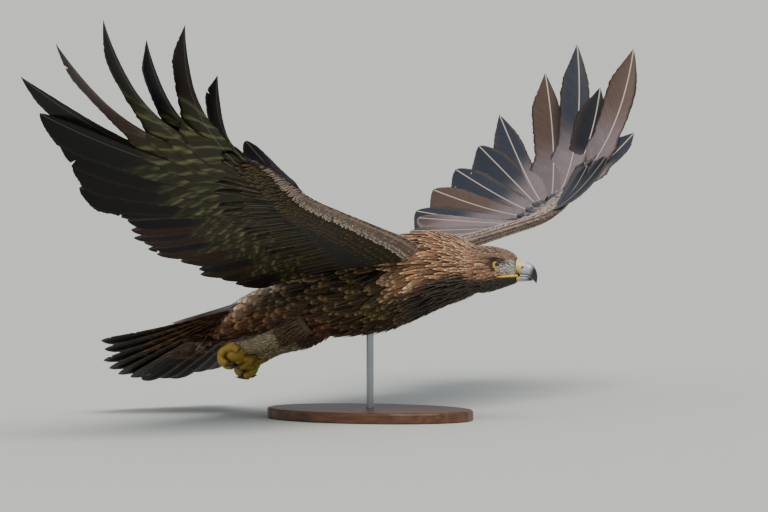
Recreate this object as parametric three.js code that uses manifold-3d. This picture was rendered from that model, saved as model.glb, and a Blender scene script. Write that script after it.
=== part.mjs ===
// A golden eagle in flight, life size, on a plain display stand.
// Millimetres, +Z up. The bird heads along +X with its left side towards +Y. The origin is the middle of the
// stand base's underside. The bird is modelled level about the point midway between its shoulders, and then
// its whole group is pitched, banked and lifted.
import * as THREE from 'three';
import { LoftGeometry } from 'three/addons/geometries/LoftGeometry.js';
import { mergeGeometries, mergeVertices } from 'three/addons/utils/BufferGeometryUtils.js';
import Module from 'manifold-3d';

const wasm = await Module();
wasm.setup();

const { lerp, smoothstep, degToRad } = THREE.MathUtils;
const v3 = (x, y, z) => new THREE.Vector3(x, y, z);

// Gap between nodes that touch
const GAP = 0.3;
// Corners nearer to a flat face than this are left out of joined solids
const MERGE_TOLERANCE = 0.1;

// Attitude in flight
const PITCH_UP = degToRad(12);
const BANK_LEFT = degToRad(4.2);
const SHOULDER_HEIGHT = 286;
const BIRD_FORWARD = 100;

// Torso and neck: x ahead of the shoulders, top, underside, half width
const TORSO = [
  [-300, -9, -84, 40],
  [-250, 0, -100, 54],
  [-180, 11, -115, 68],
  [-100, 24, -121, 77],
  [-40, 29, -111, 74],
  [20, 25, -100, 60],
];
const NECK_MIDDLE = [58, 9, -95, 47];
const BODY_SIDES = 20;
const BODY_SQUARENESS = 2.2;

// Head, in its own frame: the origin is midway between the eyes and x runs along the closed mouth
const HEAD_PLACE = v3(129.5, 6, -54);
const HEAD_DROOP = degToRad(10);
const HEAD_TURN = degToRad(8);
const HEAD = [
  [-46, 33, -44, 38],
  [-25, 33, -44, 36],
  [-6, 30.5, -39, 32.5],
  [10, 26, -34, 28.5],
  [22, 19.5, -30, 22],
  [33, 9.8, -26.4, 13.6],
];
const HEAD_SIDES = 18;

const EYE_RADIUS = 12;
const EYE_OUT = 19.5;
const EYE_FORWARD = degToRad(14);
const LID_RADIUS = 8.7;
const LID_TUBE = 1.5;
const BROW = { x: 3, out: 26, up: 9.6, length: 17, depth: 5.4, height: 3.4, droop: degToRad(9) };

const CERE = [
  [33.3, 9, -15, 13],
  [40, 7.6, -15.6, 11.2],
  [45.6, 5.8, -16, 9.5],
];
// Upper half of the bill: places on the ridge and on the cutting edge in the plane of symmetry, half width
const UPPER_BILL = [
  [45.9, 5.6, 45.9, -16, 9.3],
  [51.8, 3.2, 50.6, -18.2, 8.3],
  [57, -1.6, 54.4, -21.4, 6.9],
  [60.6, -8.2, 57, -24.2, 5.2],
  [62.6, -15.6, 58.6, -26.2, 3.5],
  [62.8, -22.6, 59.6, -27.6, 2],
  [61.6, -29.2, 60.2, -29.8, 0.7],
];
const LOWER_BILL = [
  [33.3, -17.2, -26.4, 11.2],
  [43, -17.6, -26, 8.8],
  [50, -19.8, -25.4, 6],
  [53.4, -22.4, -25, 3.5],
  [55, -23.8, -24.7, 1.3],
];
// Fold of skin along the corner of the mouth: x, share of the head's half width, height
const GAPE = [
  [-2, 0.86, -20.4],
  [9, 0.9, -19.6],
  [19, 0.95, -18.8],
  [27, 0.97, -18.2],
  [30.6, 0.94, -17.8],
];
const GAPE_RADIUS = 1.8;
const NOSTRIL = { x: 40.4, out: 11, up: -4, length: 4.4, depth: 3, height: 1.7, slant: degToRad(-40) };

// Wings. A point of a wing is given by s, the distance out from the midline along the wing, x, and z above
// the wing's surface, which slopes up gently along the arm and more steeply along the hand.
const SHOULDER = 74;
const ELBOW = 262;
const WRIST = 470;
const HAND_END = 606;
const ARM_SLOPE = degToRad(9);
const HAND_SLOPE = degToRad(22);
const SLOPE_RISES = [400, 560];
const WING_INCIDENCE = degToRad(4);
// The flesh with its small feathers: s, leading edge, chord, thickness
const WING_FLESH = [
  [40, 14, 160, 54],
  [110, 24, 156, 44],
  [190, 27, 140, 34],
  [262, 28, 124, 30],
  [370, 29, 100, 27],
  [440, 30, 84, 25],
  [486, 30, 70, 22],
  [540, 27, 56, 16],
  [590, 18, 39, 10],
  [610, 9, 23, 6],
];
const FLESH_SIDES = 10;

const SECONDARIES = 16;
const SECONDARY_ROOTS = [104, 464];
const SECONDARY_FAN = [degToRad(97), degToRad(62)];
// Where the secondaries end, by where along the wing they root
const TRAILING_EDGE = [
  [90, -304],
  [160, -315],
  [300, -306],
  [400, -284],
  [470, -267],
];
const SECONDARY_WIDTH = [38, 46];
// How far the air lifts the ends of the left secondaries, and how the last ones turn up to meet the primaries
const TRAILING_LIFT = { 1: degToRad(4), '-1': 0 };
const LAST_SECONDARY_RISE = degToRad(16);

const PRIMARIES = 10;
const PRIMARY_ROOTS = [480, 598];
// Each wing's primaries from the innermost out. The left ones bend up more evenly along their length, the
// right ones more towards their tips. lead is the leading vane's share of the width, and thumb the fan angle
// of the thumb's feathers.
const FINGERS = {
  1: {
    bends: [1.4, 1.4, 1.4, 1.4, 1.4, 1.4, 1.4, 1.4, 1.4, 1.4],
    bow: degToRad(-4),
    twist: degToRad(-30),
    width: 74,
    lead: 0.36,
    thumb: degToRad(-24),
    fans: [56.2, 48.6, 40.4, 32.7, 28.6, 17.5, 8.7, 3.5, -7.1, -14.6],
    lengths: [344, 362, 389, 434, 490, 500, 482, 370, 403, 235],
    tipSlopes: [39, 45, 44, 43, 46, 56, 69, 56, 73, 36],
  },
  '-1': {
    bends: [2.4, 2.4, 2.4, 2, 0.8, 1.8, 2.4, 2.4, 2.4, 2.4],
    bow: degToRad(-24),
    twist: degToRad(-40),
    width: 64,
    lead: 0.3,
    thumb: degToRad(6),
    fans: [56, 48.3, 39.8, 32.8, 32.6, 21.8, 12.8, 7.1, -3.7, -9.3],
    lengths: [332, 346, 380, 428, 489, 489, 464, 385, 387, 261],
    tipSlopes: [50, 57, 59, 48, 38, 53, 76, 75, 82, 71],
  },
};
// The feathers of the thumb
const ALULA = {
  feathers: 3,
  s: [486, 520],
  spread: degToRad(12),
  length: [160, 105],
  width: 42,
  rise: 0.3,
  back: 0.1,
};
const FIRST_FINGER = 4;
const FINGER_NOTCH = 0.3;
const LAST_FINGER_WIDTH = 0.8;
const TWIST_SPAN = [0.3, 0.75];
const LEADING_TWIST_SPAN = [0, 0.5];

const FEATHER_BOW = degToRad(8);
const SHINGLE_TILT = degToRad(4.5);
const VANE_THICKNESS = 0.7;

// Tail
const TAIL_ROOT = [
  [-300.3, -9, -84, 40],
  [-335, -17, -84, 37],
  [-365, -30, -82, 30],
  [-385, -44, -78, 18],
];
const RECTRICES = 12;
const TAIL_PLACE = v3(-318, 0, -34);
const TAIL_FAN = degToRad(36);
const TAIL_PITCH = degToRad(15.5);
const TAIL_YAW = degToRad(-12);
const TAIL_TWIST = degToRad(-8.5);
const TAIL_LENGTH = 262;
// How much shorter the outermost feather is, and how far it cups up, as shares of its length
const TAIL_ROUNDING = 0.1;
const TAIL_CUP = 0.1;
const TAIL_FEATHER_WIDTH = 50;

// Legs, folded back under the tail
const LEG_OUT = 46;
const THIGH = v3(-215, 0, -84);
const THIGH_INWARD = 8;
const SHANK = [v3(-262, 0, -100), v3(-310, 0, -106)];
const LEG_RADII = [24, 10];
// The left foot is carried lower and further back than the right one
const FOOT = v3(-346, 0, -110);
const FOOT_SHIFT = { 1: v3(-10, 0, -9), '-1': v3(8, 0, 3) };
const TOES = [
  { out: -13, radius: 6.2, curl: 17, from: -60, to: 150 },
  { out: 0, radius: 7, curl: 20, from: -60, to: 165 },
  { out: 13, radius: 6.2, curl: 17, from: -60, to: 150 },
  // The hind toe grips from the inner side, the other way round: x, how far inward, z
  { radius: 5.6, route: [[-10, 10, -12], [0, 17, -19], [-8, 22, -25], [-18, 24, -27]] },
];
const CLAW_LENGTH = 26;

// Stand
const BASE_LENGTH = 360;
const BASE_WIDTH = 250;
const BASE_THICKNESS = 18;
const BASE_EDGE = 3;
const ROD_RADIUS = 6;
const ROD_X = 0;

// Solids

function solidOf(geometry) {
  const bare = new THREE.BufferGeometry();
  bare.setAttribute('position', geometry.getAttribute('position'));
  bare.setIndex(geometry.index);
  const merged = mergeVertices(bare, 1e-4);
  const corners = Array.from(merged.index.array);
  const kept = [];
  for (let i = 0; i < corners.length; i += 3) {
    const [a, b, c] = corners.slice(i, i + 3);
    if (a !== b && b !== c && c !== a) kept.push(a, b, c);
  }
  const make = (triVerts) => new wasm.Manifold(new wasm.Mesh({
    numProp: 3,
    vertProperties: new Float32Array(merged.getAttribute('position').array),
    triVerts: new Uint32Array(triVerts),
  }));
  const made = make(kept);
  return made.volume() > 0 ? made : make(kept.reverse());
}

function geometryOf(solid) {
  const mesh = solid.getMesh();
  const geometry = new THREE.BufferGeometry();
  geometry.setAttribute('position', new THREE.BufferAttribute(new Float32Array(mesh.vertProperties), 3));
  geometry.setIndex(new THREE.BufferAttribute(new Uint32Array(mesh.triVerts), 1));
  return geometry;
}

function largest(solid) {
  const bodies = solid.decompose();
  return bodies.reduce((best, body) => (body.volume() > best.volume() ? body : best));
}

function join(pieces) {
  return largest(pieces.reduce((all, piece) => all.add(piece))).simplify(MERGE_TOLERANCE);
}

function middleOf(points) {
  return points.reduce((sum, point) => sum.add(point), v3(0, 0, 0)).divideScalar(points.length);
}

// A skin over closed rings of points with a cap at each end. The rings wind about the way they are laid.
function loft(rings) {
  const [first, second] = rings;
  const middle = middleOf(first);
  const onward = middleOf(second).sub(middle);
  const winding = first.reduce((sum, point, i) => {
    const next = first[(i + 1) % first.length];
    return sum.add(point.clone().sub(middle).cross(next.clone().sub(middle)));
  }, v3(0, 0, 0));
  const wound = winding.dot(onward) > 0 ? rings : rings.map((ring) => ring.slice().reverse());
  return solidOf(new LoftGeometry(wound, { capStart: true, capEnd: true }));
}

// A smooth curve through the rows of a table, read at any value of its first column
function tableAt(table, at) {
  const last = table.length - 1;
  let i = 0;
  while (i < last - 1 && at > table[i + 1][0] === table[last][0] > table[0][0]) i += 1;
  const rows = [table[Math.max(i - 1, 0)], table[i], table[i + 1], table[Math.min(i + 2, last)]];
  const span = rows[2][0] - rows[1][0];
  const t = (at - rows[1][0]) / span;
  return table[0].slice(1).map((_, column) => {
    const [a, b, c, d] = rows.map((row) => row[column + 1]);
    const slopeB = (c - a) / ((rows[2][0] - rows[0][0]) || span) * span;
    const slopeC = (d - b) / ((rows[3][0] - rows[1][0]) || span) * span;
    const t2 = t * t;
    const t3 = t2 * t;
    const level = (2 * t3 - 3 * t2 + 1) * b + (3 * t2 - 2 * t3) * c;
    return level + (t3 - 2 * t2 + t) * slopeB + (t3 - t2) * slopeC;
  });
}

const power = (value, exponent) => Math.sign(value) * Math.abs(value) ** exponent;

// A rounded cross-section across x
function bodyRing([x, top, bottom, half], sides, grow = 0) {
  const points = [];
  for (let i = 0; i < sides; i += 1) {
    const angle = (i / sides) * 2 * Math.PI;
    points.push(v3(
      x,
      (half + grow) * power(Math.cos(angle), 2 / BODY_SQUARENESS),
      (top + bottom) / 2 + ((top - bottom) / 2 + grow) * power(Math.sin(angle), 2 / BODY_SQUARENESS),
    ));
  }
  return points;
}

function stationsOf(table, count) {
  const [start, end] = [table[0][0], table[table.length - 1][0]];
  return Array.from({ length: count + 1 }, (_, i) => {
    const at = lerp(start, end, i / count);
    return [at, ...tableAt(table, at)];
  });
}

function bodyLoft(table, count, sides, grow = 0) {
  return loft(stationsOf(table, count).map((station) => bodyRing(station, sides, grow)));
}

// A flat plate from rows of points on its middle surface, with its own thickness direction at each point.
// Both faces are split into triangles alike.
function plate(rows, thickness) {
  const columns = rows[0].length - 1;
  const face = (shift) => {
    const sheet = new THREE.PlaneGeometry(1, 1, columns, rows.length - 1);
    rows.flat().forEach(({ point, up }, i) => {
      const place = point.clone().addScaledVector(up, shift * thickness);
      sheet.getAttribute('position').setXYZ(i, place.x, place.y, place.z);
    });
    return sheet;
  };
  const top = face(0.5);
  const bottom = face(-0.5);
  bottom.index.array.reverse();
  const rim = [
    ...rows[0].slice(0, -1),
    ...rows.slice(0, -1).map((row) => row[columns]),
    ...rows[rows.length - 1].slice(1).reverse(),
    ...rows.slice(1).reverse().map((row) => row[0]),
  ];
  rim.push(rim[0]);
  const wall = new THREE.PlaneGeometry(1, 1, rim.length - 1, 1);
  [-0.5, 0.5].forEach((shift, row) => rim.forEach(({ point, up }, i) => {
    const place = point.clone().addScaledVector(up, shift * thickness);
    wall.getAttribute('position').setXYZ(row * rim.length + i, place.x, place.y, place.z);
  }));
  return solidOf(mergeGeometries([top, bottom, wall]));
}

// Wing surface

function wingSlope(s) {
  return lerp(ARM_SLOPE, HAND_SLOPE, smoothstep(s, ...SLOPE_RISES));
}

// Height and lateral place of the wing's surface above the shoulder, by adding up short steps along it
function wingProfile(s) {
  const step = 4;
  const place = { y: SHOULDER, z: 0 };
  const direction = Math.sign(s - SHOULDER);
  for (let done = 0; done < Math.abs(s - SHOULDER); done += step) {
    const part = Math.min(step, Math.abs(s - SHOULDER) - done);
    const slope = wingSlope(SHOULDER + direction * (done + part / 2));
    place.y += direction * part * Math.cos(slope);
    place.z += direction * part * Math.sin(slope);
  }
  return place;
}

function wingPoint(side, s, x, z = 0) {
  const { y, z: height } = wingProfile(s);
  const slope = wingSlope(s);
  const sag = (tableAt(WING_FLESH, Math.min(s, HAND_END))[0] - x) * Math.sin(WING_INCIDENCE);
  return v3(x, side * (y - z * Math.sin(slope)), height + z * Math.cos(slope) - sag);
}

// A feather's shaft as places with the directions across it and out of its upper face. The fan angle is 0
// straight out from the body and 90 degrees straight back, and the slope turns the shaft up towards its tip.
function shaft(side, { s, x, z = 0, fan, bow = 0, tipSlope, droop = 0, bend = 1, length, places, tilt }) {
  const steps = 40;
  const rootSlope = wingSlope(s);
  const rows = [];
  const at = wingPoint(side, s, x, z);
  let next = 0;
  for (let i = 0; i <= steps; i += 1) {
    const t = i / steps;
    const angle = fan + bow * (t - 0.3);
    const slope = lerp(rootSlope, tipSlope ?? rootSlope, t ** bend);
    const up = v3(0, -side * Math.sin(slope), Math.cos(slope));
    const flat = v3(0, side * Math.cos(slope), Math.sin(slope));
    const along = v3(-Math.sin(angle), 0, 0).addScaledVector(flat, Math.cos(angle));
    along.addScaledVector(up, -Math.tan(droop)).normalize();
    const lead = v3(Math.cos(angle), 0, 0).addScaledVector(flat, Math.sin(angle));
    while (next < places.length && places[next] <= t + 1e-6) {
      const turn = tilt(places[next]);
      const across = lead.clone().multiplyScalar(Math.cos(turn)).addScaledVector(up, Math.sin(turn));
      const out = up.clone().multiplyScalar(Math.cos(turn)).addScaledVector(lead, -Math.sin(turn));
      rows.push({ t: places[next], point: at.clone(), across, up: out });
      next += 1;
    }
    at.addScaledVector(along, length / steps);
  }
  return rows;
}

// A feather: narrow at its root, full along most of its length and rounded or pointed at its tip
function feather(rows, width, { lead = 0.34, notch = 0, tip = 0.12, point = 0.1 } = {}) {
  const grid = rows.map(({ t, point: at, across, up }) => {
    const base = lerp(0.35, 1, smoothstep(t, 0, 0.22));
    const end = t < 1 - point ? 1 : Math.max(tip, Math.sqrt(Math.max(0, 1 - ((t - 1 + point) / point) ** 2)));
    const cut = 1 - notch * smoothstep(t, 0.4, 0.54);
    const share = (part) => width * part * base * end * cut;
    return [
      { point: at.clone().addScaledVector(across, share(lead)), up },
      { point: at.clone().addScaledVector(across, -share(1 - lead)), up },
    ];
  });
  return plate(grid, VANE_THICKNESS);
}

const FINGER_PLACES = [0, 0.22, 0.42, 0.56, 0.78, 0.93, 1];
const PRIMARY_PLACES = [0, 0.22, 0.6, 0.9, 1];
const SECONDARY_PLACES = [0, 0.22, 0.9, 1];
const COVERT_PLACES = [0, 0.75, 1];

function secondaryFanAt(s) {
  const u = THREE.MathUtils.inverseLerp(...SECONDARY_ROOTS, s);
  return lerp(...SECONDARY_FAN, THREE.MathUtils.clamp(u, 0, 1) ** 1.4);
}

function secondary(i, side) {
  const u = i / (SECONDARIES - 1);
  const s = lerp(...SECONDARY_ROOTS, u);
  const [edge, chord] = tableAt(WING_FLESH, s);
  const x = edge - chord * 0.72;
  const fan = secondaryFanAt(s);
  const [target] = tableAt(TRAILING_EDGE, s);
  const length = (x - target) / Math.sin(fan);
  const width = lerp(...SECONDARY_WIDTH, u);
  return {
    s,
    x,
    fan,
    bow: FEATHER_BOW,
    droop: -TRAILING_LIFT[side] * u ** 2,
    tipSlope: wingSlope(s) + LAST_SECONDARY_RISE * u ** 6,
    length,
    width,
    places: SECONDARY_PLACES,
    twist: 0,
    twistSpan: TWIST_SPAN,
  };
}

function primary(i, side) {
  const { bends, bow, twist, width, lead, fans, lengths, tipSlopes } = FINGERS[side];
  const finger = i >= FIRST_FINGER;
  const u = i / (PRIMARIES - 1);
  const s = lerp(...PRIMARY_ROOTS, u);
  const [edge, chord] = tableAt(WING_FLESH, s);
  return {
    s,
    x: edge - chord * 0.62,
    fan: degToRad(fans[i]),
    bow: finger ? bow : FEATHER_BOW,
    bend: bends[i],
    length: lengths[i],
    tipSlope: degToRad(tipSlopes[i]),
    width: i === PRIMARIES - 1 ? width * LAST_FINGER_WIDTH : width,
    lead,
    twist: finger ? twist : 0,
    notch: finger ? FINGER_NOTCH : 0,
    point: finger ? 0.22 : 0.14,
    places: finger ? FINGER_PLACES : PRIMARY_PLACES,
    twistSpan: i === PRIMARIES - 1 ? LEADING_TWIST_SPAN : TWIST_SPAN,
  };
}

function flightFeather(side, spec) {
  const tilt = (t) => SHINGLE_TILT + spec.twist * smoothstep(t, ...spec.twistSpan);
  return feather(shaft(side, { ...spec, tilt }), spec.width, spec);
}

// One feather of the tiers that cover the roots of the flight feathers
function covert(side, spec, { back, rise, reach, width }) {
  const [edge, chord, thickness] = tableAt(WING_FLESH, spec.s);
  const z = rise * thickness * 0.5;
  const length = reach * spec.length;
  const droop = Math.atan((z - Math.sign(rise) * 3.2) / length);
  const rows = shaft(side, {
    ...spec,
    tipSlope: undefined,
    x: edge - chord * back,
    z,
    droop,
    length,
    places: COVERT_PLACES,
    tilt: () => SHINGLE_TILT,
  });
  return feather(rows, width, { tip: 0.3, point: 0.3 });
}

const TIERS = [
  { back: 0.62, rise: 0.55, reach: 0.44, width: 56 },
  { back: 0.6, rise: -0.55, reach: 0.44, width: 56 },
];

// The small feathers on the thumb, which lie along the hand's leading edge
function alulaFeather(side, i) {
  const u = i / (ALULA.feathers - 1);
  const s = lerp(...ALULA.s, u);
  const [edge, chord, thickness] = tableAt(WING_FLESH, s);
  const rows = shaft(side, {
    s,
    x: edge - chord * ALULA.back,
    z: thickness * ALULA.rise,
    fan: FINGERS[side].thumb + ALULA.spread * u,
    length: lerp(...ALULA.length, u),
    places: COVERT_PLACES,
    tilt: () => SHINGLE_TILT,
  });
  return feather(rows, ALULA.width, { tip: 0.3, point: 0.3 });
}

function fleshRing(side, s) {
  const [edge, chord, thickness] = tableAt(WING_FLESH, s);
  return Array.from({ length: FLESH_SIDES }, (_, i) => {
    const angle = (i / FLESH_SIDES) * 2 * Math.PI;
    const height = thickness * 0.5 * Math.sin(angle) * (0.62 + 0.38 * Math.cos(angle));
    return wingPoint(side, s, edge - chord * (1 - Math.cos(angle)) / 2, height);
  });
}

function wingFlesh(side, from, to, count) {
  return loft(Array.from({ length: count + 1 }, (_, i) => fleshRing(side, lerp(from, to, i / count))));
}

// The plane that parts two lengths of a wing, between the feathers on either side of it
function partingPlane(side, s, fan) {
  const slope = wingSlope(s);
  const [edge, chord] = tableAt(WING_FLESH, s);
  const normal = v3(Math.cos(fan), side * Math.sin(fan) * Math.cos(slope), Math.sin(fan) * Math.sin(slope));
  return { normal, offset: normal.dot(wingPoint(side, s, edge - chord * 0.5)) };
}

function trim(solid, { normal, offset }, keepOut) {
  const sign = keepOut ? 1 : -1;
  return solid.trimByPlane(normal.clone().multiplyScalar(sign).toArray(), sign * offset + GAP / 2);
}

function wingParts(side, torso) {
  const elbow = partingPlane(side, ELBOW, secondaryFanAt(ELBOW));
  const wrist = partingPlane(side, WRIST, degToRad(59.5));
  const secondaries = Array.from({ length: SECONDARIES }, (_, i) => secondary(i, side));
  const primaries = Array.from({ length: PRIMARIES }, (_, i) => primary(i, side));
  const quills = (specs, tiers, every) => specs.flatMap((spec, i) => [
    flightFeather(side, spec),
    ...(i % every ? [] : tiers.map((tier) => covert(side, spec, tier))),
  ]);
  const alula = Array.from({ length: ALULA.feathers }, (_, i) => alulaFeather(side, i));
  const inner = secondaries.filter(({ s }) => s < ELBOW);
  const outer = secondaries.filter(({ s }) => s >= ELBOW);
  const upperArm = join([wingFlesh(side, 40, ELBOW + 30, 6), ...quills(inner, TIERS, 2)]);
  const forearm = join([wingFlesh(side, ELBOW - 30, WRIST + 40, 5), ...quills(outer, TIERS, 2)]);
  const handFeathers = [...quills(primaries, TIERS.slice(0, 1), 3), ...alula];
  const hand = join([wingFlesh(side, WRIST - 50, HAND_END, 5), ...handFeathers]);
  return {
    upper_arm: largest(trim(upperArm, elbow, false).subtract(torso)),
    forearm: largest(trim(trim(forearm, elbow, true), wrist, false)),
    hand: largest(trim(hand, wrist, true)),
  };
}

// Head, bill and eyes

const headFrame = new THREE.Matrix4().compose(
  HEAD_PLACE,
  new THREE.Quaternion().setFromEuler(new THREE.Euler(0, HEAD_DROOP, HEAD_TURN, 'ZYX')),
  v3(1, 1, 1),
);

function inHead(solid) {
  return solid.transform(headFrame.elements);
}

// A ring between a point on the upper ridge and one on the lower edge, both in the plane of symmetry
function billRing([topX, topZ, bottomX, bottomZ, half], sides) {
  return Array.from({ length: sides }, (_, i) => {
    const angle = (i / sides) * 2 * Math.PI;
    const share = (1 + Math.sin(angle)) / 2;
    return v3(lerp(bottomX, topX, share), half * Math.cos(angle), lerp(bottomZ, topZ, share));
  });
}

function ball(radius, x, y, z, [sx, sy, sz] = [1, 1, 1], segments = 20) {
  const sphere = new THREE.SphereGeometry(radius, segments, segments / 2);
  sphere.scale(sx, sy, sz).translate(x, y, z);
  return solidOf(sphere);
}

function tube(points, radius, sides, segments) {
  const path = new THREE.CatmullRomCurve3(points);
  return loft(tubeRings(path, () => radius, sides, segments));
}

// Rings square to a path, with the radius a function of the place along it
function tubeRings(path, radiusAt, sides, segments) {
  const { normals, binormals } = path.computeFrenetFrames(segments, false);
  return Array.from({ length: segments + 1 }, (_, i) => {
    const middle = path.getPointAt(i / segments);
    return Array.from({ length: sides }, (__, j) => {
      const angle = (j / sides) * 2 * Math.PI;
      return middle.clone()
        .addScaledVector(normals[i], radiusAt(i / segments) * Math.cos(angle))
        .addScaledVector(binormals[i], radiusAt(i / segments) * Math.sin(angle));
    });
  });
}

function eyeball(side, radius) {
  return ball(radius, 0, side * EYE_OUT, 0, [1, 1, 1], 16);
}

function headShape() {
  const skull = bodyLoft(HEAD, 9, HEAD_SIDES);
  const lids = [1, -1].map((side) => {
    const ring = new THREE.TorusGeometry(LID_RADIUS, LID_TUBE, 5, 18);
    ring.rotateX(Math.PI / 2).rotateZ(side * -EYE_FORWARD);
    ring.translate(EYE_OUT * 0.42 * Math.sin(EYE_FORWARD), side * (EYE_OUT + 8.2), 0);
    return solidOf(ring);
  });
  const brows = [1, -1].map((side) => {
    const brow = new THREE.SphereGeometry(1, 12, 6);
    brow.scale(BROW.length, BROW.depth, BROW.height).rotateY(BROW.droop).rotateZ(side * -EYE_FORWARD);
    return solidOf(brow.translate(BROW.x, side * BROW.out, BROW.up));
  });
  const sockets = [1, -1].map((side) => eyeball(side, EYE_RADIUS + GAP));
  const solid = join([skull, ...lids, ...brows, gapeFold(1), gapeFold(-1)]);
  return largest(sockets.reduce((left, socket) => left.subtract(socket), solid));
}

// The fold of skin along the corner of the mouth
function gapeFold(side) {
  const points = GAPE.map(([x, share, z]) => v3(x, side * share * tableAt(HEAD, x)[2], z));
  return tube(points, GAPE_RADIUS, 6, 6);
}

function ringsAlong(table, sides) {
  return table.map(([x, top, bottom, half]) => billRing([x, top, x, bottom, half], sides));
}

function cereShape() {
  const nostrils = [1, -1].map((side) => {
    const hole = new THREE.SphereGeometry(1, 8, 5);
    hole.scale(NOSTRIL.length / 2, NOSTRIL.depth, NOSTRIL.height / 2).rotateY(NOSTRIL.slant);
    return solidOf(hole.translate(NOSTRIL.x, side * NOSTRIL.out, NOSTRIL.up));
  });
  return nostrils.reduce((left, hole) => left.subtract(hole), loft(ringsAlong(CERE, 16)));
}

// Tail

function tailFeather(i) {
  const u = (i + 0.5) / RECTRICES * 2 - 1;
  const fan = TAIL_FAN * u;
  const tilt = Math.sign(u) * SHINGLE_TILT;
  const rows = [0, 0.3, 0.7, 0.92, 1].map((t) => {
    const reach = 20 + t * TAIL_LENGTH * (1 - TAIL_ROUNDING * u * u);
    const height = Math.abs(u) * -3.2 + TAIL_CUP * t * reach * u * u;
    return {
      t,
      point: v3(-reach * Math.cos(fan), reach * Math.sin(fan) + u * 16, height),
      across: v3(Math.sin(fan) * Math.cos(tilt), Math.cos(fan) * Math.cos(tilt), -Math.sin(tilt)),
      up: v3(Math.sin(fan) * Math.sin(tilt), Math.cos(fan) * Math.sin(tilt), Math.cos(tilt)),
    };
  });
  return feather(rows, TAIL_FEATHER_WIDTH, { lead: u > 0 ? 0.4 : 0.6, tip: 0.3, point: 0.14 });
}

const tailFrame = new THREE.Matrix4().compose(
  TAIL_PLACE,
  new THREE.Quaternion().setFromEuler(new THREE.Euler(TAIL_TWIST, -TAIL_PITCH, TAIL_YAW, 'ZYX')),
  v3(1, 1, 1),
);

function tailShape() {
  const quills = Array.from({ length: RECTRICES }, (_, i) => tailFeather(i).transform(tailFrame.elements));
  return join([bodyLoft(TAIL_ROOT, 3, BODY_SIDES), ...quills]);
}

// Legs and feet

function legPath(side) {
  return new THREE.CatmullRomCurve3([
    THIGH.clone().setY(side * (LEG_OUT - THIGH_INWARD)),
    ...SHANK.map((place) => place.clone().setY(side * LEG_OUT)),
    footPlace(side).add(v3(6, 0, 2)),
  ]);
}

function legShape(side, grow = 0) {
  return loft(tubeRings(legPath(side), (t) => grow + lerp(...LEG_RADII, t ** 0.8), 12, 7));
}

function footPlace(side) {
  return FOOT.clone().add(FOOT_SHIFT[side]).setY(side * LEG_OUT);
}

// A curled toe runs back from the ankle and round under the sole
function toePoints(side, { out, curl, from, to, route }) {
  if (route) return route.map(([x, inward, z]) => footPlace(side).add(v3(x, -side * inward, z)));
  const centre = footPlace(side).add(v3(-16, out, -10));
  return [0, 0.25, 0.5, 0.75, 1].map((t) => {
    const angle = degToRad(lerp(from, to, t)) - Math.PI / 2;
    return centre.clone().add(v3(-curl * Math.cos(angle) * 1.1, 0, -curl * Math.sin(angle) * 0.8));
  });
}

function footShape(side) {
  const toes = TOES.map((toe) => tube(toePoints(side, toe), toe.radius, 7, 5));
  const { x, y, z } = footPlace(side);
  const pad = ball(13, x - 14, y, z - 8, [1.15, 1.25, 0.95], 10);
  const ankle = tube([v3(x + 12, y, z + 1), v3(x, y, z - 2), v3(x - 12, y, z - 6)], 9, 8, 3);
  return join([pad, ankle, ...toes]);
}

function claw(side, toe) {
  const points = toePoints(side, toe);
  const end = points[points.length - 1];
  const direction = end.clone().sub(points[points.length - 2]).normalize();
  const path = new THREE.CatmullRomCurve3([
    end.clone().addScaledVector(direction, -3),
    end.clone().addScaledVector(direction, CLAW_LENGTH * 0.3).add(v3(0, 0, 1)),
    end.clone().addScaledVector(direction, CLAW_LENGTH * 0.6).add(v3(0, 0, 5)),
  ]);
  return loft(tubeRings(path, (t) => lerp(toe.radius * 0.6, 0.6, t), 7, 4));
}

// Stand

function standBase() {
  const outline = new THREE.Shape();
  outline.absellipse(0, 0, BASE_LENGTH / 2, BASE_WIDTH / 2, 0, 2 * Math.PI);
  const slab = new THREE.ExtrudeGeometry(outline, {
    depth: BASE_THICKNESS - 2 * BASE_EDGE,
    bevelEnabled: true,
    bevelThickness: BASE_EDGE,
    bevelSize: BASE_EDGE,
    bevelOffset: -BASE_EDGE,
    bevelSegments: 2,
    curveSegments: 12,
  });
  return solidOf(slab.translate(0, 0, BASE_EDGE));
}

// Materials

function material(color, roughness, metalness = 0) {
  return new THREE.MeshStandardMaterial({ color, roughness, metalness });
}

const BROWN = material(0x4a3324, 0.85);
const GOLD = material(0xa8744a, 0.85);
const QUILL = material(0x2c2420, 0.7);
const PALE = material(0x8a7358, 0.85);
const SKIN = material(0xe0b93c, 0.45);
const HORN = material(0x2d3540, 0.3);
const IRIS = material(0xb98a24, 0.05);
const WALNUT = material(0x5a3a24, 0.5);
const STEEL = material(0x9a9c9e, 0.35, 1);

const bird = new THREE.Group();
const stand = new THREE.Group();

function add(group, name, solid, look) {
  const mesh = new THREE.Mesh(geometryOf(solid), look);
  mesh.name = name;
  group.add(mesh);
}

const headBack = bodyRing(HEAD[0], BODY_SIDES);
const neckEnd = headBack.map((point) => point.clone().add(v3(-GAP, 0, 0)).applyMatrix4(headFrame));
const neckStart = bodyRing(TORSO[TORSO.length - 1], BODY_SIDES).map((point) => point.add(v3(GAP, 0, 0)));
const neckMiddle = bodyRing(NECK_MIDDLE, BODY_SIDES);

function neckShape() {
  const rings = [neckStart, neckMiddle, neckEnd];
  const through = rings[0].map((_, i) => new THREE.CatmullRomCurve3(rings.map((ring) => ring[i])));
  return loft(Array.from({ length: 7 }, (_, row) => through.map((curve) => curve.getPoint(row / 6))));
}

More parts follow.
